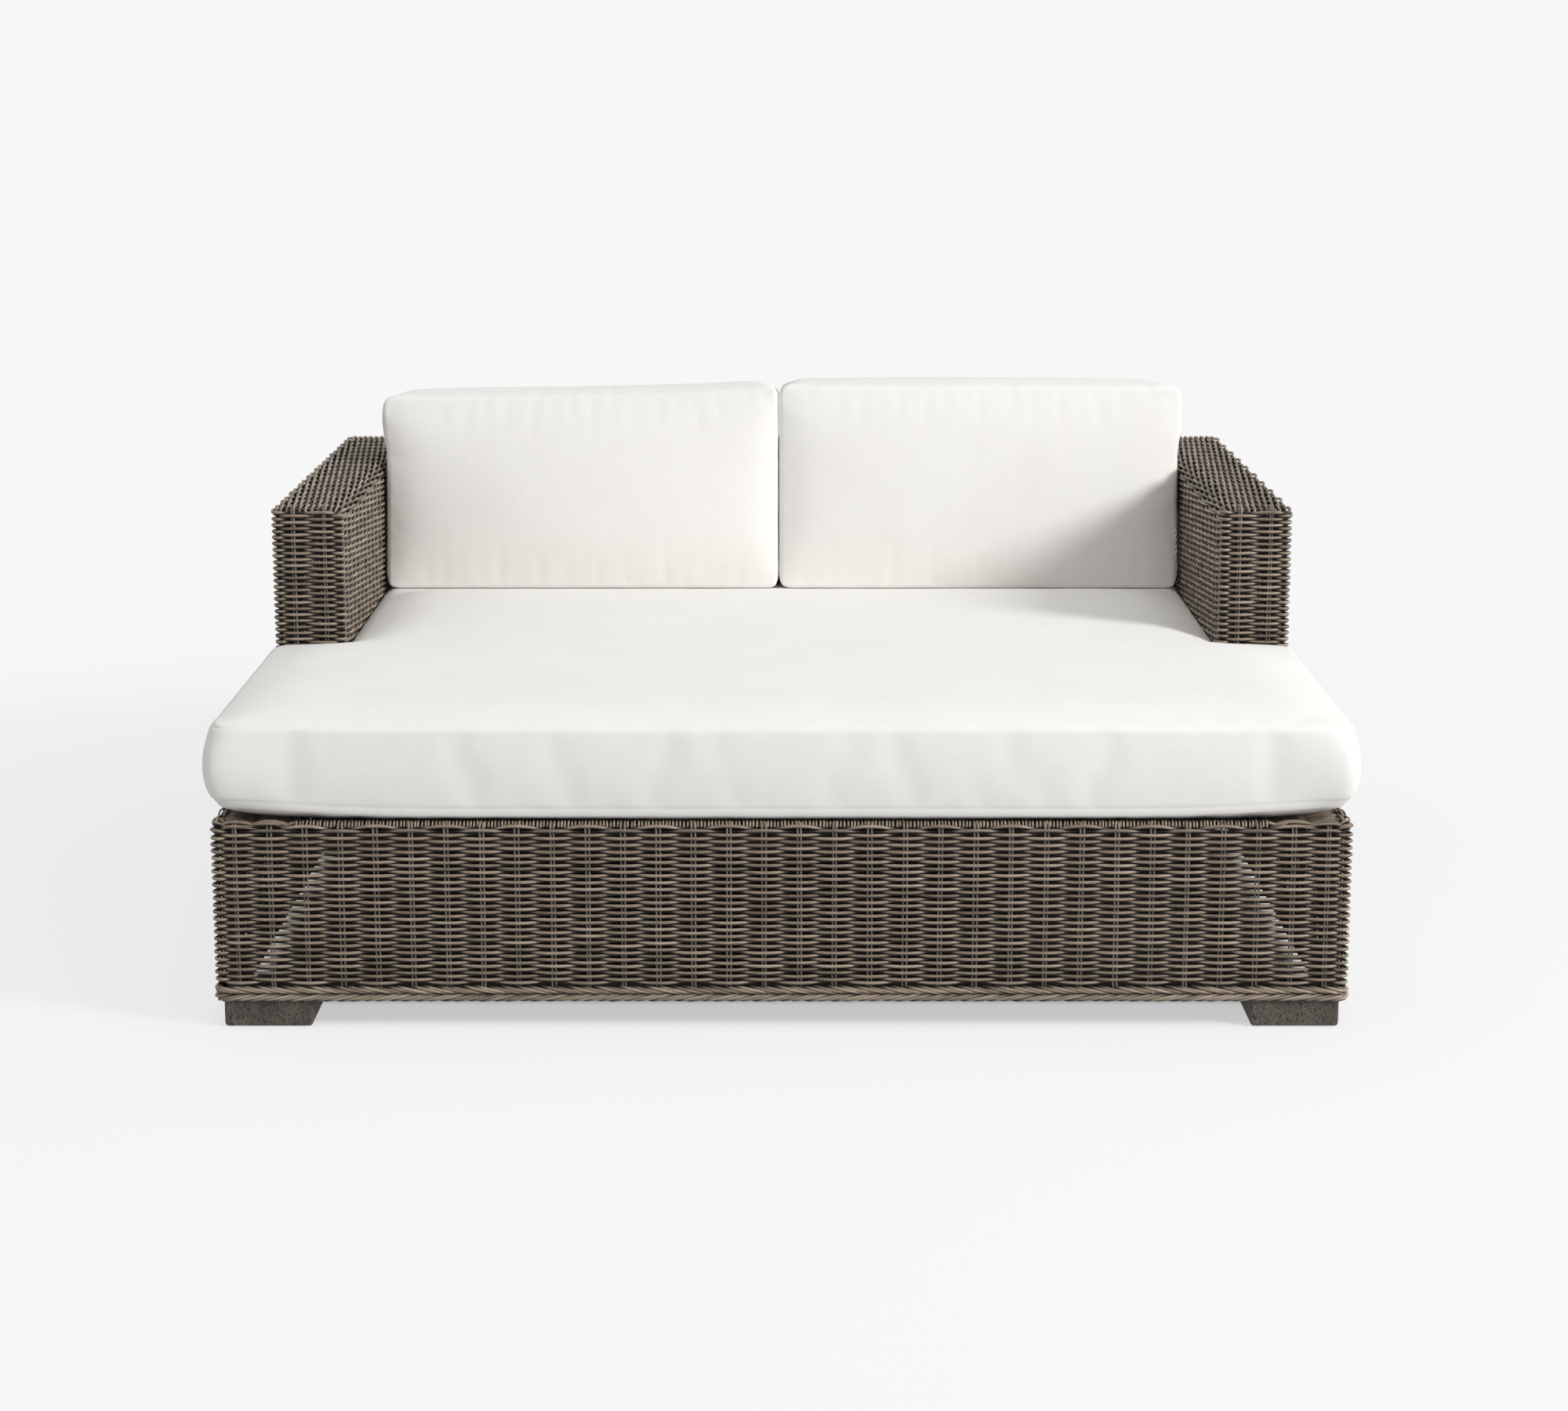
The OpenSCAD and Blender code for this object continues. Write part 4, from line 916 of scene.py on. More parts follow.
overRim = (stakeTops["rim"], stakeTops["bend"], stakeTops["run"])
upright = list(range(2, len(frontX) + 2))
armPairs, backPairs = list(range(innerSteps + 1)), list(range(len(innerX)))
innerPairs = {"Left": armPairs, "Right": armPairs, "Back": backPairs}
handStakes("frontStakes", [standing("frontStakes", frontRoute, upright, stakeTops["foot"], *overRim)],
           "front_stakes")
handStakes("backStakes", [standing("backStakes", backRoute, upright, stakeTops["foot"], stakeTops["outer"])],
           "back_stakes")
sideParts = []
for route, turned in ((rightRoute, False), (leftRoute, True)):
    for pairs, top in ((route[1][:armFirst], overRim), (route[1][armFirst:], (stakeTops["outer"],))):
        chosen = sorted(sideSteps - k for k in pairs) if turned else pairs
        sideParts.append(standing("sideStakes", route, chosen, stakeTops["foot"], *top))
handStakes("sideStakes", sideParts, "side_stakes")
handStakes("innerStakes", [standing("innerStakes", innerRoutes[side], pairs, baseTop, stakeTops["inner"])
                           for side, pairs in innerPairs.items()], "inner_stakes")
handStakes("armFrontStakes", [standing("armFrontStakes", route, [2, 3], baseTop, stakeTops["armFront"],
                                       stakeTops["bend"], stakeTops["armRun"]) for route in armFrontRoutes])
deckPath = roundedPath((armX - deck["stakesIn"], deckZ, 0), (-armX + deck["stakesIn"], deckZ, 0))
deckParts = [lying("deckStakes", (deckPath, deckCounts, deckPlaces), list(range(len(deckY))), 0.0,
                   2 * (armX - deck["stakesIn"]), False)]
ledgePath = roundedPath((armY, deckZ, 0), (ledge["stakesFront"], deckZ, 0))
ledgeStakes = (ledgePath, ledgeCounts, ledgeX)
for sign in (-1, 1):
    piece = lying("deckStakes", ledgeStakes, [1, 2], 0.0, armY - ledge["stakesFront"], True)
    flipSide(piece, sign)
    deckParts.append(piece)
for piece in deckParts:
    liftRim(piece)
handStakes("deckStakes", deckParts, "deck_stakes")
topParts = [lying("topStakes", armTopRoute, list(range(armSteps + 1)), stakeTops["cut"],
                  armArch.length - stakeTops["cut"], False, mirrored) for mirrored in (False, True)]
topParts.append(lying("topStakes", backTopRoute, backPairs, stakeTops["cut"],
                      backArch.length - stakeTops["cut"], True))
handStakes("topStakes", topParts, "top_stakes")

print("stage: border")

border = {
    "strandRadius": 0.0025,
    "pitch": 0.0195,              # from one strand to the next
    "middleZ": borderZ + 0.0115,
    "depth": 0.00575,             # from the crest to the middle of the plait
    "pairShift": 0.0030,          # strands lie in pairs
    "bandShift": 0.4,             # of a pitch, from the upper band to the lower one
    "cornerOut": 0.004,
    "near": 0.0034, "far": 0.0042,    # furthest places out and in from the plait's middle
    "wander": (0.0004, 0.0003),       # up and out
    # a strand of the upper band: along, up and out from the plait's middle line
    "places": [(-0.033, 0.0098, -0.0042), (-0.026, 0.0103, -0.0012), (-0.016, 0.0088, 0.0018),
               (-0.0015, 0.0060, 0.0034), (0.0140, 0.0032, 0.0026), (0.025, 0.0012, 0.0),
               (0.033, -0.0002, -0.0032)],
}
borderLook = dict(weave, pairPitch=border["pitch"])


def flatBorder(name, copies, turnedAway, odd):
    # one half of one band: a bent strand, repeated at twice the pitch
    places = border["places"]
    flip = -1 if turnedAway else 1
    moves = [(b[0] - a[0], a[2] - b[2], (b[1] - a[1]) * flip) for a, b in zip(places, places[1:])]
    strand = extrudedStrand(name, border["strandRadius"], 6, moves, "X")
    closeEnds(strand)
    first = places[0]
    shift = odd * (border["pitch"] - border["pairShift"])
    shift = shift + turnedAway * border["pitch"] * border["bandShift"]
    strand.data.transform(Matrix.Translation((first[0] + shift, -first[2], first[1] * flip)))
    co = points(strand)
    perStrand = len(co)
    along = co[:, 0] - shift
    alongs, ups, outs = zip(*places)
    middleY, middleZ = -np.interp(along, alongs, outs), np.interp(along, alongs, ups) * flip
    depth = np.clip((middleY + border["near"]) / (border["near"] + border["far"]), 0, 1)
    turn = np.arctan2(co[:, 2] - middleZ, -(co[:, 1] - middleY)) / (2 * math.pi)
    repeat(strand, copies, (2 * border["pitch"], 0, 0))
    lot = np.repeat(np.arange(copies) * 4 + odd * 2 + turnedAway, perStrand) % len(tones)
    # painted shade: a strand is darker where it lies deeper in the plait
    storeStrands(strand, 0.25 + 0.7 * tones[lot, 5], np.tile(smooth(depth * 0.95), copies),
                 np.tile(along, copies) + lot * 0.31, np.tile(turn, copies), lot * 1.37)
    co = points(strand)
    co[:, 2] += border["wander"][0] * np.sin(wanders[lot, 1])
    co[:, 1] += border["wander"][1] * np.sin(wanders[lot, 2])
    setPoints(strand, co)
    return strand


for side, path, corners in (("Front", frontRoute[0], frontCorners), ("Back", backRoute[0], backCorners),
                            ("Left", leftRoute[0], ()), ("Right", rightRoute[0], ())):
    name = "border" + side
    copies = round(path.length / (2 * border["pitch"]))
    piece = joinPieces([flatBorder(name, copies, away, odd) for away in (0, 1) for odd in (0, 1)], name)
    co = points(piece)
    co[:, 1] += border["depth"] - crestDepth
    setPoints(piece, co)
    layOnPlan(piece, (path, [0, 2 * copies], [0, path.length]), border["middleZ"], look=borderLook,
              corners=[(place, half, border["cornerOut"]) for place, half, far in corners])
    handOver(piece, "frame", "woven_strand", strandFinish, nodeName(name))

print("stage: cushions")


def clothMaterial(name):
    # outdoor canvas: fine threads both ways, with faint slubs and mottling
    material, make = newFinish(name, Roughness=0.88, Specular_IOR_Level=0.25, Sheen_Weight=0.12,
                               Sheen_Roughness=0.6)
    place = make.onObject()
    across = make.noise(place, 1.0, 2.0, (25, 600, 600))
    upright = make.noise(place, 1.0, 2.0, (600, 40, 25))
    mottle = make.noise(place, 7.0, 4.0, (1, 1, 1), 0.6)
    tone = mottle * 0.5 + across * 0.25 + upright * 0.25
    make.feed("Base Color", make.ramp(tone, (0.25, shade(236, 234, 229)), (0.5, shade(240, 238, 234)),
                                      (0.75, shade(243, 242, 238))))
    threads = make.noise(place, 1.0, 1.0, (900, 900, 900)) * 0.5 + across * 0.35 + upright * 0.35
    make.bump(threads, 0.3, 0.0006)
    return material


clothFinish = clothMaterial("cushionCanvas")

cushion = {
    "canvasStep": 0.024,      # of the cloth's grid on the seat
    "backStep": 0.42,         # share of it on the back cushions
    "beside": (0.0, 0.004, 0.012, 0.026),    # the grid's places beside a seam
    # the simulation's settings; a shrink below zero makes the cloth that much wider than the foam
    "cloth": {"quality": 6, "mass": 0.3, "use_pressure": True, "uniform_pressure_force": 4.0,
              "shrink_min": -0.004, "tension_stiffness": 15, "compression_stiffness": 15,
              "bending_stiffness": 0.6},
    "seatSwell": 0.009,       # furthest that a point may move in the simulation
    "backSwell": 0.012,
    "seamPinch": 0.0016, "pinchReach": 0.0028,
    "pucker": 0.00187, "puckerStart": 0.004, "puckerReach": 0.011,
    "soft": 0.0009, "softStart": 0.03,       # wide soft swells, away from the seams
}


def seamSteps(first, last, step, near=cushion["beside"], far=None):
    # places of the cloth's grid from one seam to the other, closer together beside the seams
    far = far or near
    inner = evenly(first + near[-1] + step, last - far[-1] - step, step)
    return [first + n for n in near] + inner + [last - n for n in far[::-1]]


def clothBox(name, across, along, layers, notched=None):
    # a flat grid, cut to the cushion's plan and extruded into a closed box; returns it with its grid numbers
    deselectAll()
    columns, lines = len(across) - 1, len(along) - 1
    bpy.ops.mesh.primitive_grid_add(x_subdivisions=columns, y_subdivisions=lines, size=1, location=(0, 0, 0))
    piece = bpy.context.object
    piece.name = name
    co = points(piece)
    co[:, 0] = np.round((co[:, 0] + 0.5) * columns)
    co[:, 1] = np.round((co[:, 1] + 0.5) * lines)
    setPoints(piece, co)
    if notched:
        pick(piece)
        bpy.ops.object.mode_set(mode="EDIT")
        bpy.ops.mesh.select_mode(type="FACE")
        bpy.ops.mesh.select_all(action="DESELECT")
        bpy.ops.object.mode_set(mode="OBJECT")
        for face in piece.data.polygons:
            face.select = notched(face.center.x, face.center.y)
        bpy.ops.object.mode_set(mode="EDIT")
        bpy.ops.mesh.delete(type="FACE")
        bpy.ops.object.mode_set(mode="OBJECT")
    editing(piece, *[lambda: bpy.ops.mesh.extrude_region_move(TRANSFORM_OT_translate={"value": (0, 0, 1)})
                     for layer in range(layers)])
    faceOutwards(piece)
    return piece, np.round(points(piece)).astype(int)


def roundCorner(a, b, cornerA, cornerB, radius):
    # turns the square corner of a grid into a round one
    wayA = np.sign(cornerA[0] - cornerA[1])
    wayB = np.sign(cornerB[0] - cornerB[1])
    p = np.clip(((a - cornerA[0]) * wayA + radius) / radius, 0, None)
    q = np.clip(((b - cornerB[0]) * wayB + radius) / radius, 0, None)
    inside = (p > 0) & (q > 0) & (p <= 1.0001) & (q <= 1.0001)
    movedA = cornerA[0] + wayA * radius * (p * np.sqrt(np.maximum(1 - q * q / 2, 0)) - 1)
    movedB = cornerB[0] + wayB * radius * (q * np.sqrt(np.maximum(1 - p * p / 2, 0)) - 1)
    return np.where(inside, movedA, a), np.where(inside, movedB, b)


def swell(piece, pinned, most):
    # blows the cover up against its seams, and keeps what the cloth does within a limit
    start = points(piece)
    seams = piece.vertex_groups.new(name="seams")
    seams.add([int(k) for k in np.nonzero(pinned)[0]], 1.0, "REPLACE")
    cloth = piece.modifiers.new("cloth", "CLOTH")
    for name, value in cushion["cloth"].items():
        setattr(cloth.settings, name, value)
    cloth.settings.effector_weights.gravity = 0
    cloth.settings.vertex_group_mass = "seams"
    for frameNumber in range(1, 21):
        bpy.context.scene.frame_set(frameNumber)
    shaped = piece.evaluated_get(bpy.context.evaluated_depsgraph_get())
    moved = np.empty(len(start) * 3)
    shaped.data.vertices.foreach_get("co", moved)
    piece.modifiers.remove(cloth)
    piece.vertex_groups.remove(seams)
    bpy.context.scene.frame_set(1)
    drift = moved.reshape(-1, 3) - start
    length = np.linalg.norm(drift, axis=1)
    limit = most * np.tanh(length / most) / np.maximum(length, 1e-9)
    setPoints(piece, start + drift * limit[:, None])
    print("swelled", piece.name, round(float(length.max()) * 1000, 1), "mm")


def bumps(co, wavelengths, seed):
    # soft random swells from a few crossed waves
    chance = np.random.default_rng(seed)
    total = np.zeros(len(co))
    for wavelength in wavelengths:
        for wave in range(5):
            way = chance.normal(size=3)
            way = way / np.linalg.norm(way) * 2 * math.pi / (wavelength * chance.uniform(0.8, 1.25))
            total += np.sin(co @ way + chance.uniform(0, 6.3)) / 5
    return total / len(wavelengths)


def finishCushion(piece, body, fill, seamDistance, seed, clearSpace, *nodes):
    # one subdivision, then seams pinched in, puckers beside them, and the limits of its space
    storeValues(piece, "seamDistance", "FLOAT", seamDistance)
    subdivide = piece.modifiers.new("smooth", "SUBSURF")
    subdivide.levels = subdivide.render_levels = 1
    applyModifiers(piece)
    co = points(piece)
    distance = np.empty(len(co))
    piece.data.attributes["seamDistance"].data.foreach_get("value", distance)
    normals = np.empty(len(co) * 3)
    piece.data.vertices.foreach_get("normal", normals)
    normals = normals.reshape(-1, 3)
    pinch = -cushion["seamPinch"] * np.exp(-(distance / cushion["pinchReach"]) ** 2)
    pucker = cushion["pucker"] * np.exp(-distance / cushion["puckerReach"])
    pucker = pucker * (1 - np.exp(-distance / cushion["puckerStart"])) * bumps(co, (0.022, 0.035), seed)
    swells = cushion["soft"] * bumps(co, (0.09, 0.16), seed + 1)
    swells = swells * (1 - np.exp(-distance / cushion["softStart"]))
    co = co + normals * (pinch + pucker + swells)[:, None]
    setPoints(piece, clearSpace(co))
    handOver(piece, body, "cushion_cloth", clothFinish, *nodes)


seatLow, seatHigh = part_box("seat_cushion_cover")
seat = {
    "seamTop": deckZ + 0.150, "seamBottom": deckZ + 0.028, "edgeBottom": deckZ + 0.0150,
    "rest": deckZ + 0.0006,   # the cover lies on the deck
    "puff": 0.006,            # the boxing stands this far out past its seams
    "sideIn": 0.0035, "rearIn": 0.002,
    "crown": 0.013,           # of the top, before the cloth swells
    "crownReach": 0.11,
    "footReach": 0.050,       # from the lower edge to where the cushion rests
    "rearHalf": armX - 0.0022, "earEnd": armY - 0.0008,
    "cornerTop": 0.040, "cornerBottom": 0.020,    # radii of the front corners
    "earCorner": 0.018, "rearCorner": 0.03,
    # at the front corners the lower edge rises and draws in, and the boxing bulges above it
    "cornerLift": 0.0135, "liftReach": 0.17,
    "bulge": 0.0130, "bulgeReach": 0.13, "bulgeSpread": 0.08, "bulgeFrom": 0.06,
    "drawIn": 0.006, "drawnShare": 0.30,
    "edgeIn": 0.003,          # the lower edge is set back from the lower seam
    "lowSeamSoft": 0.002,     # the lower seam shows less than the upper one
    # pressed under the back cushions: from here on, over this run, and what is left of the crown
    "pressedAt": 0.352, "pressRun": 0.090, "pressedCrown": 0.0045,
    # how near it comes to the arms' inner faces, their fronts and the back
    "armGap": 0.0008, "armFrontGap": 0.0004, "backGap": 0.001,
    # heights on the boxing as shares, above the lower seam
    "aboveSeam": 0.035, "boxing": [0.19, 0.32, 0.45, 0.60, 0.75, 0.89, 0.965, 1.0],
}
halfSeat = seatHigh.x - seat["puff"] - seat["sideIn"]
seatFront = seatLow.y + seat["puff"]
seatRear = seatHigh.y - seat["rearIn"]
step = cushion["canvasStep"]
wide = (0.0,)                # where no seam shows
earPlaces = seamSteps(seat["rearHalf"], halfSeat, step, wide, (0.0, 0.006, 0.020))
middlePlaces = seamSteps(-seat["rearHalf"], seat["rearHalf"], step, wide)
seatAcross = [-x for x in earPlaces[:0:-1]] + middlePlaces + earPlaces[1:]
frontPart = seamSteps(seatFront, seat["earEnd"], step, far=wide)
seatAlong = frontPart + seamSteps(seat["earEnd"], seatRear, step, wide, cushion["beside"])[1:]
notchLeft = len(earPlaces) - 1
notchRight = notchLeft + len(middlePlaces) - 1
notchLine = len(frontPart) - 1
boxHeight = seat["seamTop"] - seat["edgeBottom"]
seamAt = (seat["seamBottom"] - seat["edgeBottom"]) / boxHeight
boxing = [0.0, seamAt * 0.5, seamAt, seamAt + seat["aboveSeam"]] + seat["boxing"]

seatPiece, grid = clothBox("seatCushion", seatAcross, seatAlong, len(boxing) - 1,
                           lambda i, j: j > notchLine and (i < notchLeft or i > notchRight))
seatX = np.array(seatAcross)[grid[:, 0]]
seatY = np.array(seatAlong)[grid[:, 1]]
up = np.array(boxing)[grid[:, 2]]
onTop, onBottom = grid[:, 2] == len(boxing) - 1, grid[:, 2] == 0

# how far each point is from the nearest seam in plan
toEarEnd = seat["earEnd"] - seatY
pastRear = abs(seatX) - seat["rearHalf"]
ahead = np.minimum(np.minimum(halfSeat - abs(seatX), seatY - seatFront),
                   np.where(pastRear > 0, toEarEnd, np.hypot(pastRear, toEarEnd)))
edgeGap = np.where(toEarEnd > -1e-6, ahead, np.minimum(-pastRear, seatRear - seatY))
edgeGap = np.maximum(edgeGap, 0)

# heights of the crowned top, of the bottom, which rests on the deck, and of the boxing
fromCorner = np.maximum(halfSeat - abs(seatX), 0) + seatY - seatFront
lift = seat["cornerLift"] * np.exp(-(fromCorner / seat["liftReach"]) ** 2)
edgeZ = seat["edgeBottom"] + lift
topZ = seat["seamTop"] + seat["crown"] * np.sin(np.minimum(edgeGap / seat["crownReach"], 1) * math.pi / 2)
footRun = np.sin(np.minimum(edgeGap / seat["footReach"], 1) * math.pi / 2)
footZ = edgeZ - (edgeZ - seat["rest"] - lift) * footRun
seatZ = np.where(onTop, topZ, np.where(onBottom, footZ, edgeZ + (seat["seamTop"] - edgeZ) * up))

bowed = np.clip((up - seat["bulgeFrom"]) / (1 - seat["bulgeFrom"]), 0, 1)
bow = np.sin(math.pi * bowed) ** 0.8 * seat["bulge"]
bow = bow - seat["drawIn"] * np.clip(1 - up / seat["drawnShare"], 0, 1) ** 2
bow = bow * (1 - smooth(fromCorner / seat["bulgeReach"])) - seat["edgeIn"] * np.clip(1 - up / seamAt, 0, 1)
nearSide = 1 - smooth((halfSeat - abs(seatX)) / seat["bulgeSpread"])
nearFront = 1 - smooth((seatY - seatFront) / seat["bulgeSpread"])
seatX = seatX + np.sign(seatX) * bow * nearSide
seatY = seatY - bow * nearFront
frontRadius = seat["cornerBottom"] + (seat["cornerTop"] - seat["cornerBottom"]) * up
for side in (-1, 1):
    for cornerX, cornerY, radius in (
            (halfSeat + bow, (seatFront - bow, 0), frontRadius),
            (halfSeat, (seat["earEnd"], -1), seat["earCorner"]),
            (seat["rearHalf"], (seatRear, 0), seat["rearCorner"])):
        seatX, seatY = roundCorner(seatX, seatY, (side * cornerX, 0), cornerY, radius)
setPoints(seatPiece, np.column_stack([seatX, seatY, seatZ]))
atSeam = edgeGap < 1e-6
onBoxing = np.minimum(abs(up - seamAt) * boxHeight + seat["lowSeamSoft"], (1 - up) * boxHeight)
seamGap = np.where(onTop, edgeGap, onBoxing + np.where(onBottom, edgeGap, 0))
swell(seatPiece, atSeam & (onTop | onBottom | (up < seamAt + 0.001)), cushion["seatSwell"])


def seatSpace(co):
    # pressed flat under the back cushions, flat on the deck, clear of the arms and the back
    pressed = smooth((co[:, 1] - seat["pressedAt"] + seat["pressRun"]) / seat["pressRun"])
    crown = co[:, 2] - seat["seamTop"]
    flattened = seat["seamTop"] + np.minimum(crown, seat["pressedCrown"])
    co[:, 2] = np.where(crown > 0, co[:, 2] * (1 - pressed) + flattened * pressed, co[:, 2])
    co[:, 2] = np.maximum(co[:, 2], seat["rest"] + riseTo(co))
    inside = armX - seat["armGap"]
    co[:, 0] = np.where(co[:, 1] > seat["earEnd"], np.clip(co[:, 0], -inside, inside), co[:, 0])
    co[:, 1] = np.where(abs(co[:, 0]) > inside, np.minimum(co[:, 1], armY - seat["armFrontGap"]), co[:, 1])
    co[:, 1] = np.minimum(co[:, 1], innerY - seat["backGap"])
    return co


finishCushion(seatPiece, "seat_cushion", 0.8, seamGap, 11, seatSpace,
              "seat_cushion_cover", "seat_cushion_core")

backLow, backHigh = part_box("back_cushion_right_cover")
back = {
    "frontSeam": 0.367, "thick": 0.280, "lean": 0.17, "crown": 0.027, "topCrown": 0.004,
    "topSeam": backHigh.z - 0.010, "rest": backLow.z + 0.0004,
    "frontRise": 0.0100, "topSlope": 0.092,     # it leans back: the top's front edge is up, the rear down
    "cornerTop": 0.017, "cornerBottom": 0.014,
    "inner": {"Left": 0.0082, "Right": -0.0042}, "outer": backHigh.x - 0.004,
    "sag": {"Left": 0.0215, "Right": 0.003},    # how much lower the top gets towards its outer end
    "sagReach": 0.16,
    "above": 0.004, "aboveRun": 0.075,          # from here over the arm it may spread out
    "spread": 0.008, "overArm": 0.019,
    "gap": 0.0012, "backGap": 0.0008,           # how near it comes to its neighbours and to the back
    "faceStep": 1.2, "sideStep": 1.6,           # of the cloth's grid
}
fine = cushion["canvasStep"] * cushion["backStep"]
for side, sign in (("Left", -1), ("Right", 1)):
    inner, outer, rest, topSeam = back["inner"][side], back["outer"], back["rest"], back["topSeam"]
    across = seamSteps(inner, outer, fine * back["faceStep"])
    rise = seamSteps(rest, topSeam, fine * back["faceStep"])
    depth = seamSteps(0.0, back["thick"], fine * back["sideStep"])
    piece, grid = clothBox("backCushion" + side, across, rise, len(depth) - 1)
    x = np.array(across)[grid[:, 0]]
    z = np.array(rise)[grid[:, 1]]
    d = np.array(depth)[grid[:, 2]]                 # from the rear face to the front one
    onFace = (grid[:, 2] == 0) | (grid[:, 2] == len(depth) - 1)
    u = (x - inner) / (outer - inner)
    v = (z - rest) / (topSeam - rest)
    gap = np.minimum(np.minimum(x - inner, outer - x), np.minimum(z - rest, topSeam - z))
    fullness = back["crown"] * np.maximum(np.sin(math.pi * u) * np.sin(math.pi * v), 0) ** 0.55
    y = back["frontSeam"] + back["thick"] - d + np.where(onFace, np.where(d > 0.1, -1, 1) * fullness, 0)
    for corner, other in ((inner, outer), (outer, inner)):
        x, z = roundCorner(x, z, (corner, other), (topSeam, 0), back["cornerTop"])
        x, z = roundCorner(x, z, (corner, other), (rest, 1), back["cornerBottom"])
    top = (grid[:, 1] == len(rise) - 1) & ~onFace
    z = z + np.where(top, back["topCrown"] * np.sin(math.pi * u) ** 0.5, 0)
    y = y + back["lean"] * (z - rest)
    setPoints(piece, np.column_stack([x * sign, y, z]))
    faceOutwards(piece)
    seamGap = np.where(onFace, gap, np.minimum(d, back["thick"] - d))
    swell(piece, onFace & (gap < 1e-6), cushion["backSwell"])

    def backSpace(co, sign=sign, sag=back["sag"][side], inner=inner):
        # lies on the seat, stays between its neighbours and swells a little over the arm
        x = co[:, 0] * sign
        share = np.clip((co[:, 2] - rest) / (topSeam - rest), 0, 1)
        depth = co[:, 1] - back["frontSeam"] - back["lean"] * (co[:, 2] - rest)
        co[:, 2] += share * (back["frontRise"] - back["topSlope"] * np.clip(depth, 0, back["thick"]))
        co[:, 2] -= sag * share * (1 - np.exp(-np.maximum(x - inner, 0) / back["sagReach"]))
        over = smooth((co[:, 2] - armTopZ - back["above"]) / back["aboveRun"])
        x = x + over * back["spread"] * smooth((x / back["outer"] - 0.6) / 0.4)
        x = np.clip(x, inner - back["gap"], armX - back["gap"] + over * back["overArm"])
        co[:, 0] = x * sign
        co[:, 2] = np.maximum(co[:, 2], rest)
        co[:, 1] = np.where(co[:, 2] < armTopZ, np.minimum(co[:, 1], innerY - back["backGap"]), co[:, 1])
        return co

    body = nodeName("backCushion" + side)
    finishCushion(piece, body, 0.7, seamGap, 21 + sign, backSpace, body + "_cover", body + "_core")


print("stage: feet and hardware")

footLook = {
    "grainBend": 0.25,
    "ridgeAt": 0.625, "ridgeSharp": 5.5,     # thin pale lines of the grain
    "ridges": 0.62, "clouds": 0.5, "level": -0.16,
    "relief": 0.5, "reliefHeight": 0.0012,
}


def footMaterial(name):
    # stained block feet: dark, with a pale crinkled grain
    material, make = newFinish(name, Roughness=0.6, Specular_IOR_Level=0.35)
    place = make.onObject()
    grain = make.noise(place, 1.0, 4.0, (420, 420, 150), 0.65)
    grain = grain + make.noise(place, 60.0) * footLook["grainBend"]
    ridge = 1 - abs((grain - footLook["ridgeAt"]) * footLook["ridgeSharp"])
    cloudy = make.noise(place, 18.0)
    tone = ridge * footLook["ridges"] + cloudy * footLook["clouds"] + footLook["level"]
    make.feed("Base Color", make.ramp(tone, (0.15, shade(42, 38, 34)), (0.45, shade(66, 60, 54)),
                                      (0.85, shade(128, 119, 107))))
    make.feed("Roughness", cloudy * 0.2 + 0.45)
    make.bump(ridge, footLook["relief"], footLook["reliefHeight"])
    return material


def coatedMaterial(name, dark, pale, roughness, metallic, scale):
    # powder coat, steel or plastic: two tones with a fine speckle and scuffs
    material, make = newFinish(name, Metallic=metallic)
    place = make.onObject()
    speckle = make.noise(place, scale, 3.0, (1, 1, 1), 0.7)
    scuffs = make.noise(place, scale / 12)
    make.feed("Base Color", make.ramp(speckle * 0.6 + scuffs * 0.4, (0.3, dark), (0.7, pale)))
    make.feed("Roughness", scuffs * 0.25 + (roughness - 0.12))
    make.bump(speckle, 0.25, 0.0003)
    return material


slotFinishes = {
    "foot_wood": footMaterial("stainedFoot"),
    "frame_tube": coatedMaterial("brownPowderCoat", shade(52, 45, 38), shade(66, 58, 50), 0.5, 0.0, 900),
    "bolt_steel": coatedMaterial("zincSteel", shade(150, 150, 148), shade(186, 186, 184), 0.38, 1.0, 500),
    "glide": coatedMaterial("blackGlide", shade(28, 28, 28), shade(40, 40, 40), 0.6, 0.0, 700),
    "zip": coatedMaterial("paleZip", shade(214, 211, 204), shade(228, 225, 219), 0.5, 0.0, 1200),
}
for made in frame["record"]["subparts"]:
    if made.get("material_slot") in slotFinishes:
        for slot in frame["nodes"][made["node"]].material_slots:
            slot.material = slotFinishes[made["material_slot"]]

print("stage: camera and light")

photo = {"focal": 4200.0, "width": 2000.0, "pitch": 11.70, "place": (0.0035, -5.574, 1.477)}
cameraData = bpy.data.cameras.new("camera")
cameraData.sensor_width = 36.0
cameraData.lens = photo["focal"] / photo["width"] * cameraData.sensor_width
camera = bpy.data.objects.new("camera", cameraData)
bpy.context.scene.collection.objects.link(camera)
camera.location = photo["place"]
camera.rotation_euler = (math.radians(90 - photo["pitch"]), 0, 0)
bpy.context.scene.camera = camera

light = {
    "toKey": (0.780, -0.457, 0.426), "from": (0, 0, 0.5), "distance": 12.0, "size": 3.4, "keyLevel": 0.74,
    "skyLevel": 0.36, "overhead": 0.42,     # the sky is stronger overhead
    "background": 0.93,
}
keyData = bpy.data.lights.new("key", "AREA")
keyData.shape = "DISK"
keyData.size = light["size"]
keyData.energy = light["keyLevel"] * math.pi ** 2 * light["distance"] ** 2
key = bpy.data.objects.new("key", keyData)
bpy.context.scene.collection.objects.link(key)
direction = Vector(light["toKey"]).normalized()
key.location = Vector(light["from"]) + direction * light["distance"]
key.rotation_euler = direction.to_track_quat("Z", "Y").to_euler()

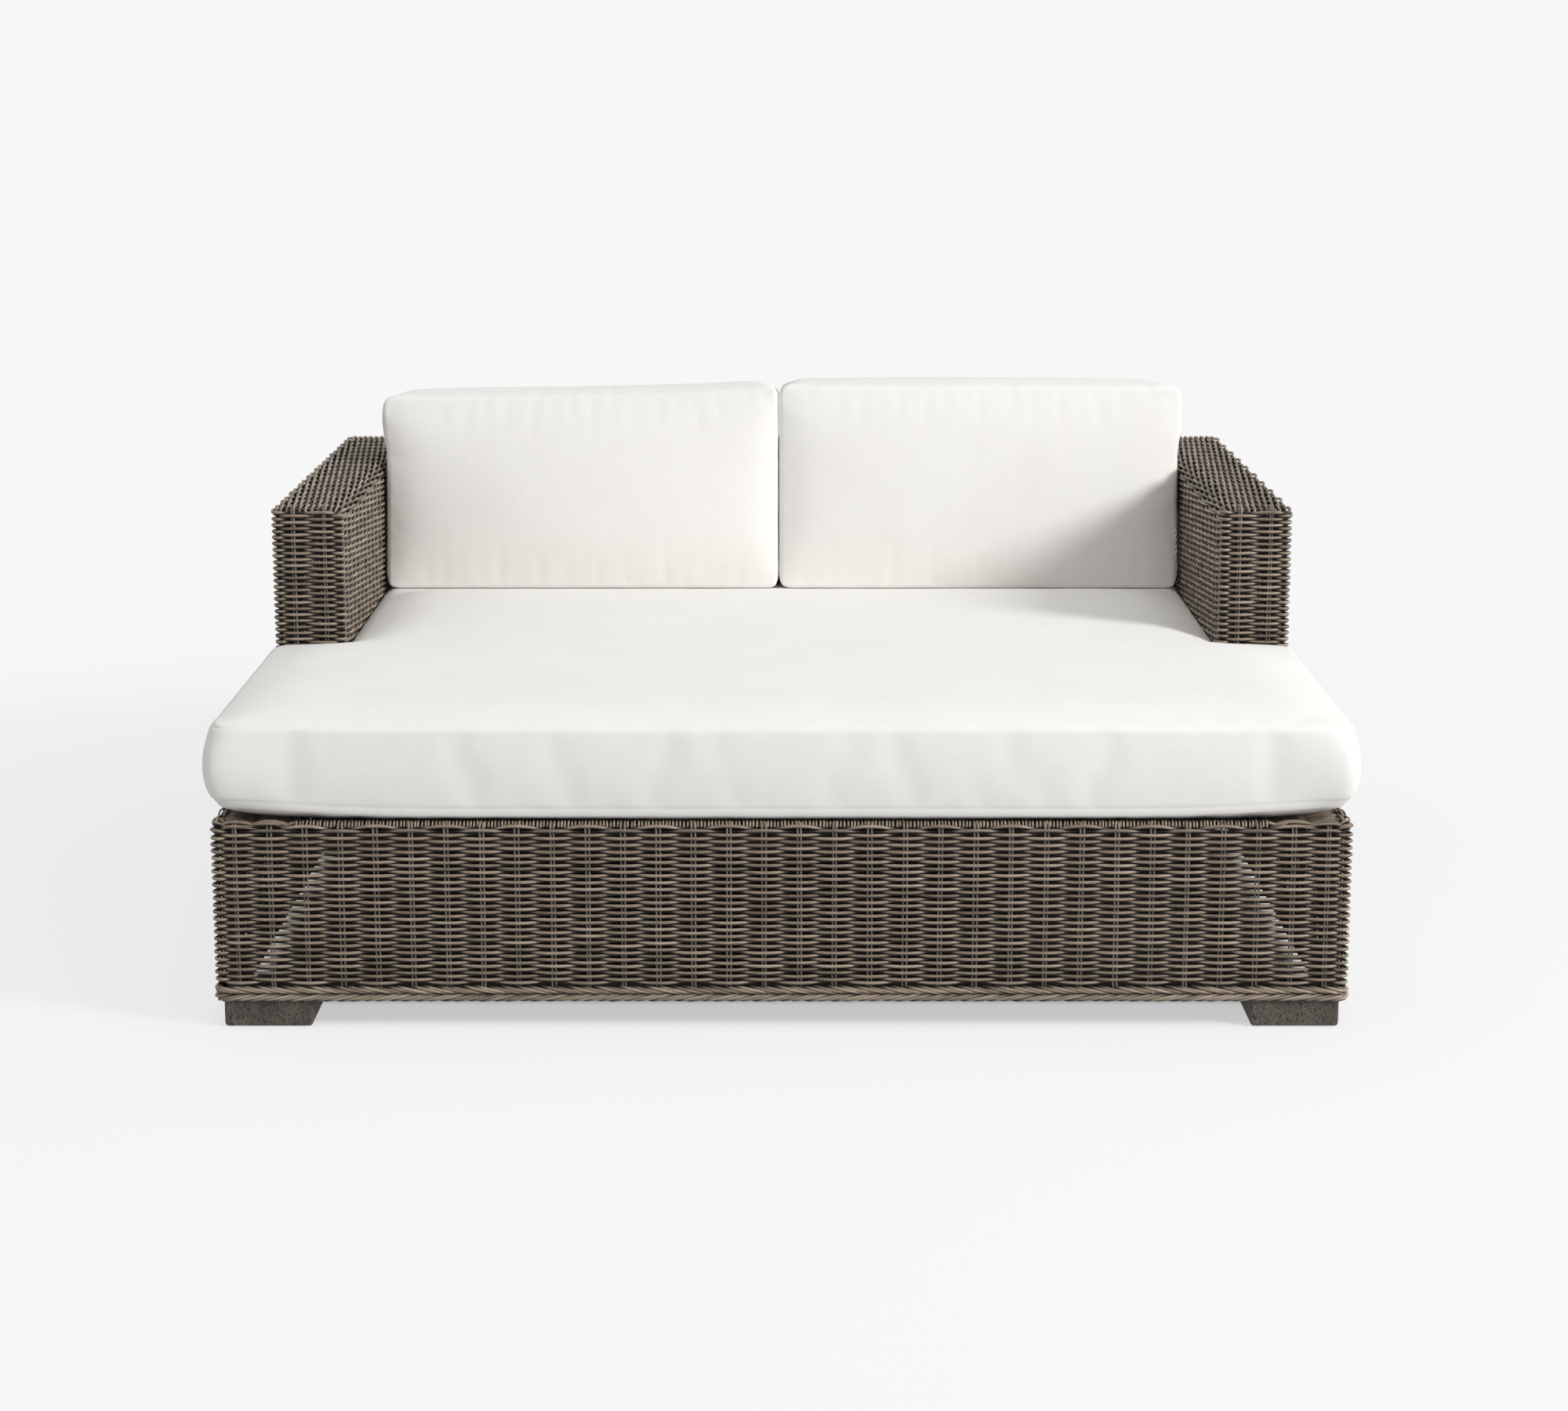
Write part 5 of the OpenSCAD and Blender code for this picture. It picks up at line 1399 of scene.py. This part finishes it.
world = bpy.data.worlds.new("studio")
bpy.context.scene.world = world
world.use_nodes = True
sky = Finish(world.node_tree, world.node_tree.nodes["Background"])
seen = sky.seen()
height = sky.node("ShaderNodeSeparateXYZ", None, {0: sky.node("ShaderNodeTexCoord")}, output=2)
soft = height.maths("MAXIMUM", height) * light["overhead"] + light["skyLevel"]
sky.feed("Color", seen * light["background"] + (1 - seen) * soft)

floorLook = {
    "size": 14, "middle": (0, 1, 0),
    "bounce": 0.64,       # the floor's colour for the light that it throws back
    "paper": 0.78,        # share of it that the camera sees as plain background
    "plain": (1.6, 3.2),  # from here to there, away from the middle, that share grows to the whole
    "underneath": 0.2,    # less of it under the daybed, so its real shadow shows darker there: painted shade
    "underX": (sideX + 0.03, sideX - 0.05), "underY": (backY + 0.02, backY - 0.05),
    "shade": 0.92,        # painted shade: the floor's colour is darkest right underneath
    "shadeX": (sideX + 0.002, sideX - 0.045), "shadeY": (0.715, 0.66),
}
deselectAll()
bpy.ops.mesh.primitive_grid_add(x_subdivisions=8, y_subdivisions=8, size=floorLook["size"],
                                location=floorLook["middle"])
floor = bpy.context.object
floor.name = "floor"
bpy.ops.object.transform_apply(location=True, rotation=True, scale=True)
floorFinish, make = newFinish("floorPaper", Roughness=0.9, Specular_IOR_Level=0.0)
seen = make.seen()
plan = make.node("ShaderNodeMapping", None, {"Vector": make.onObject(), "Scale": (1, 1, 0)})
away = make.node("ShaderNodeVectorMath", {"operation": "LENGTH"}, {0: plan}, output=1)
fromX, fromY = [abs(make.node("ShaderNodeSeparateXYZ", None, {0: plan}, output=axis)) for axis in (0, 1)]
# painted shade: under the daybed the plain share drops, and right underneath the floor's colour darkens
under = make.ease(fromX, floorLook["underX"]) * make.ease(fromY, floorLook["underY"])
deep = make.ease(fromX, floorLook["shadeX"]) * make.ease(fromY, floorLook["shadeY"])
share = make.ease(away, floorLook["plain"]) * (1 - floorLook["paper"]) + floorLook["paper"]
share = (share - under * floorLook["underneath"]) * (1 - deep)
bounce = seen * (light["background"] - floorLook["bounce"]) + floorLook["bounce"]
make.feed("Base Color", bounce * (1 - deep * floorLook["shade"]))
paper = make.node("ShaderNodeEmission", None, {"Color": (light["background"],) * 3 + (1,)})
mix = make.node("ShaderNodeMixShader", None, {0: seen * share, 2: paper})
links = floorFinish.node_tree.links
links.new(make.shader.outputs[0], mix.output.node.inputs[1])
links.new(mix.output, floorFinish.node_tree.nodes["Material Output"].inputs["Surface"])
floor.data.materials.append(floorFinish)

bpy.context.scene.view_settings.view_transform = "Standard"
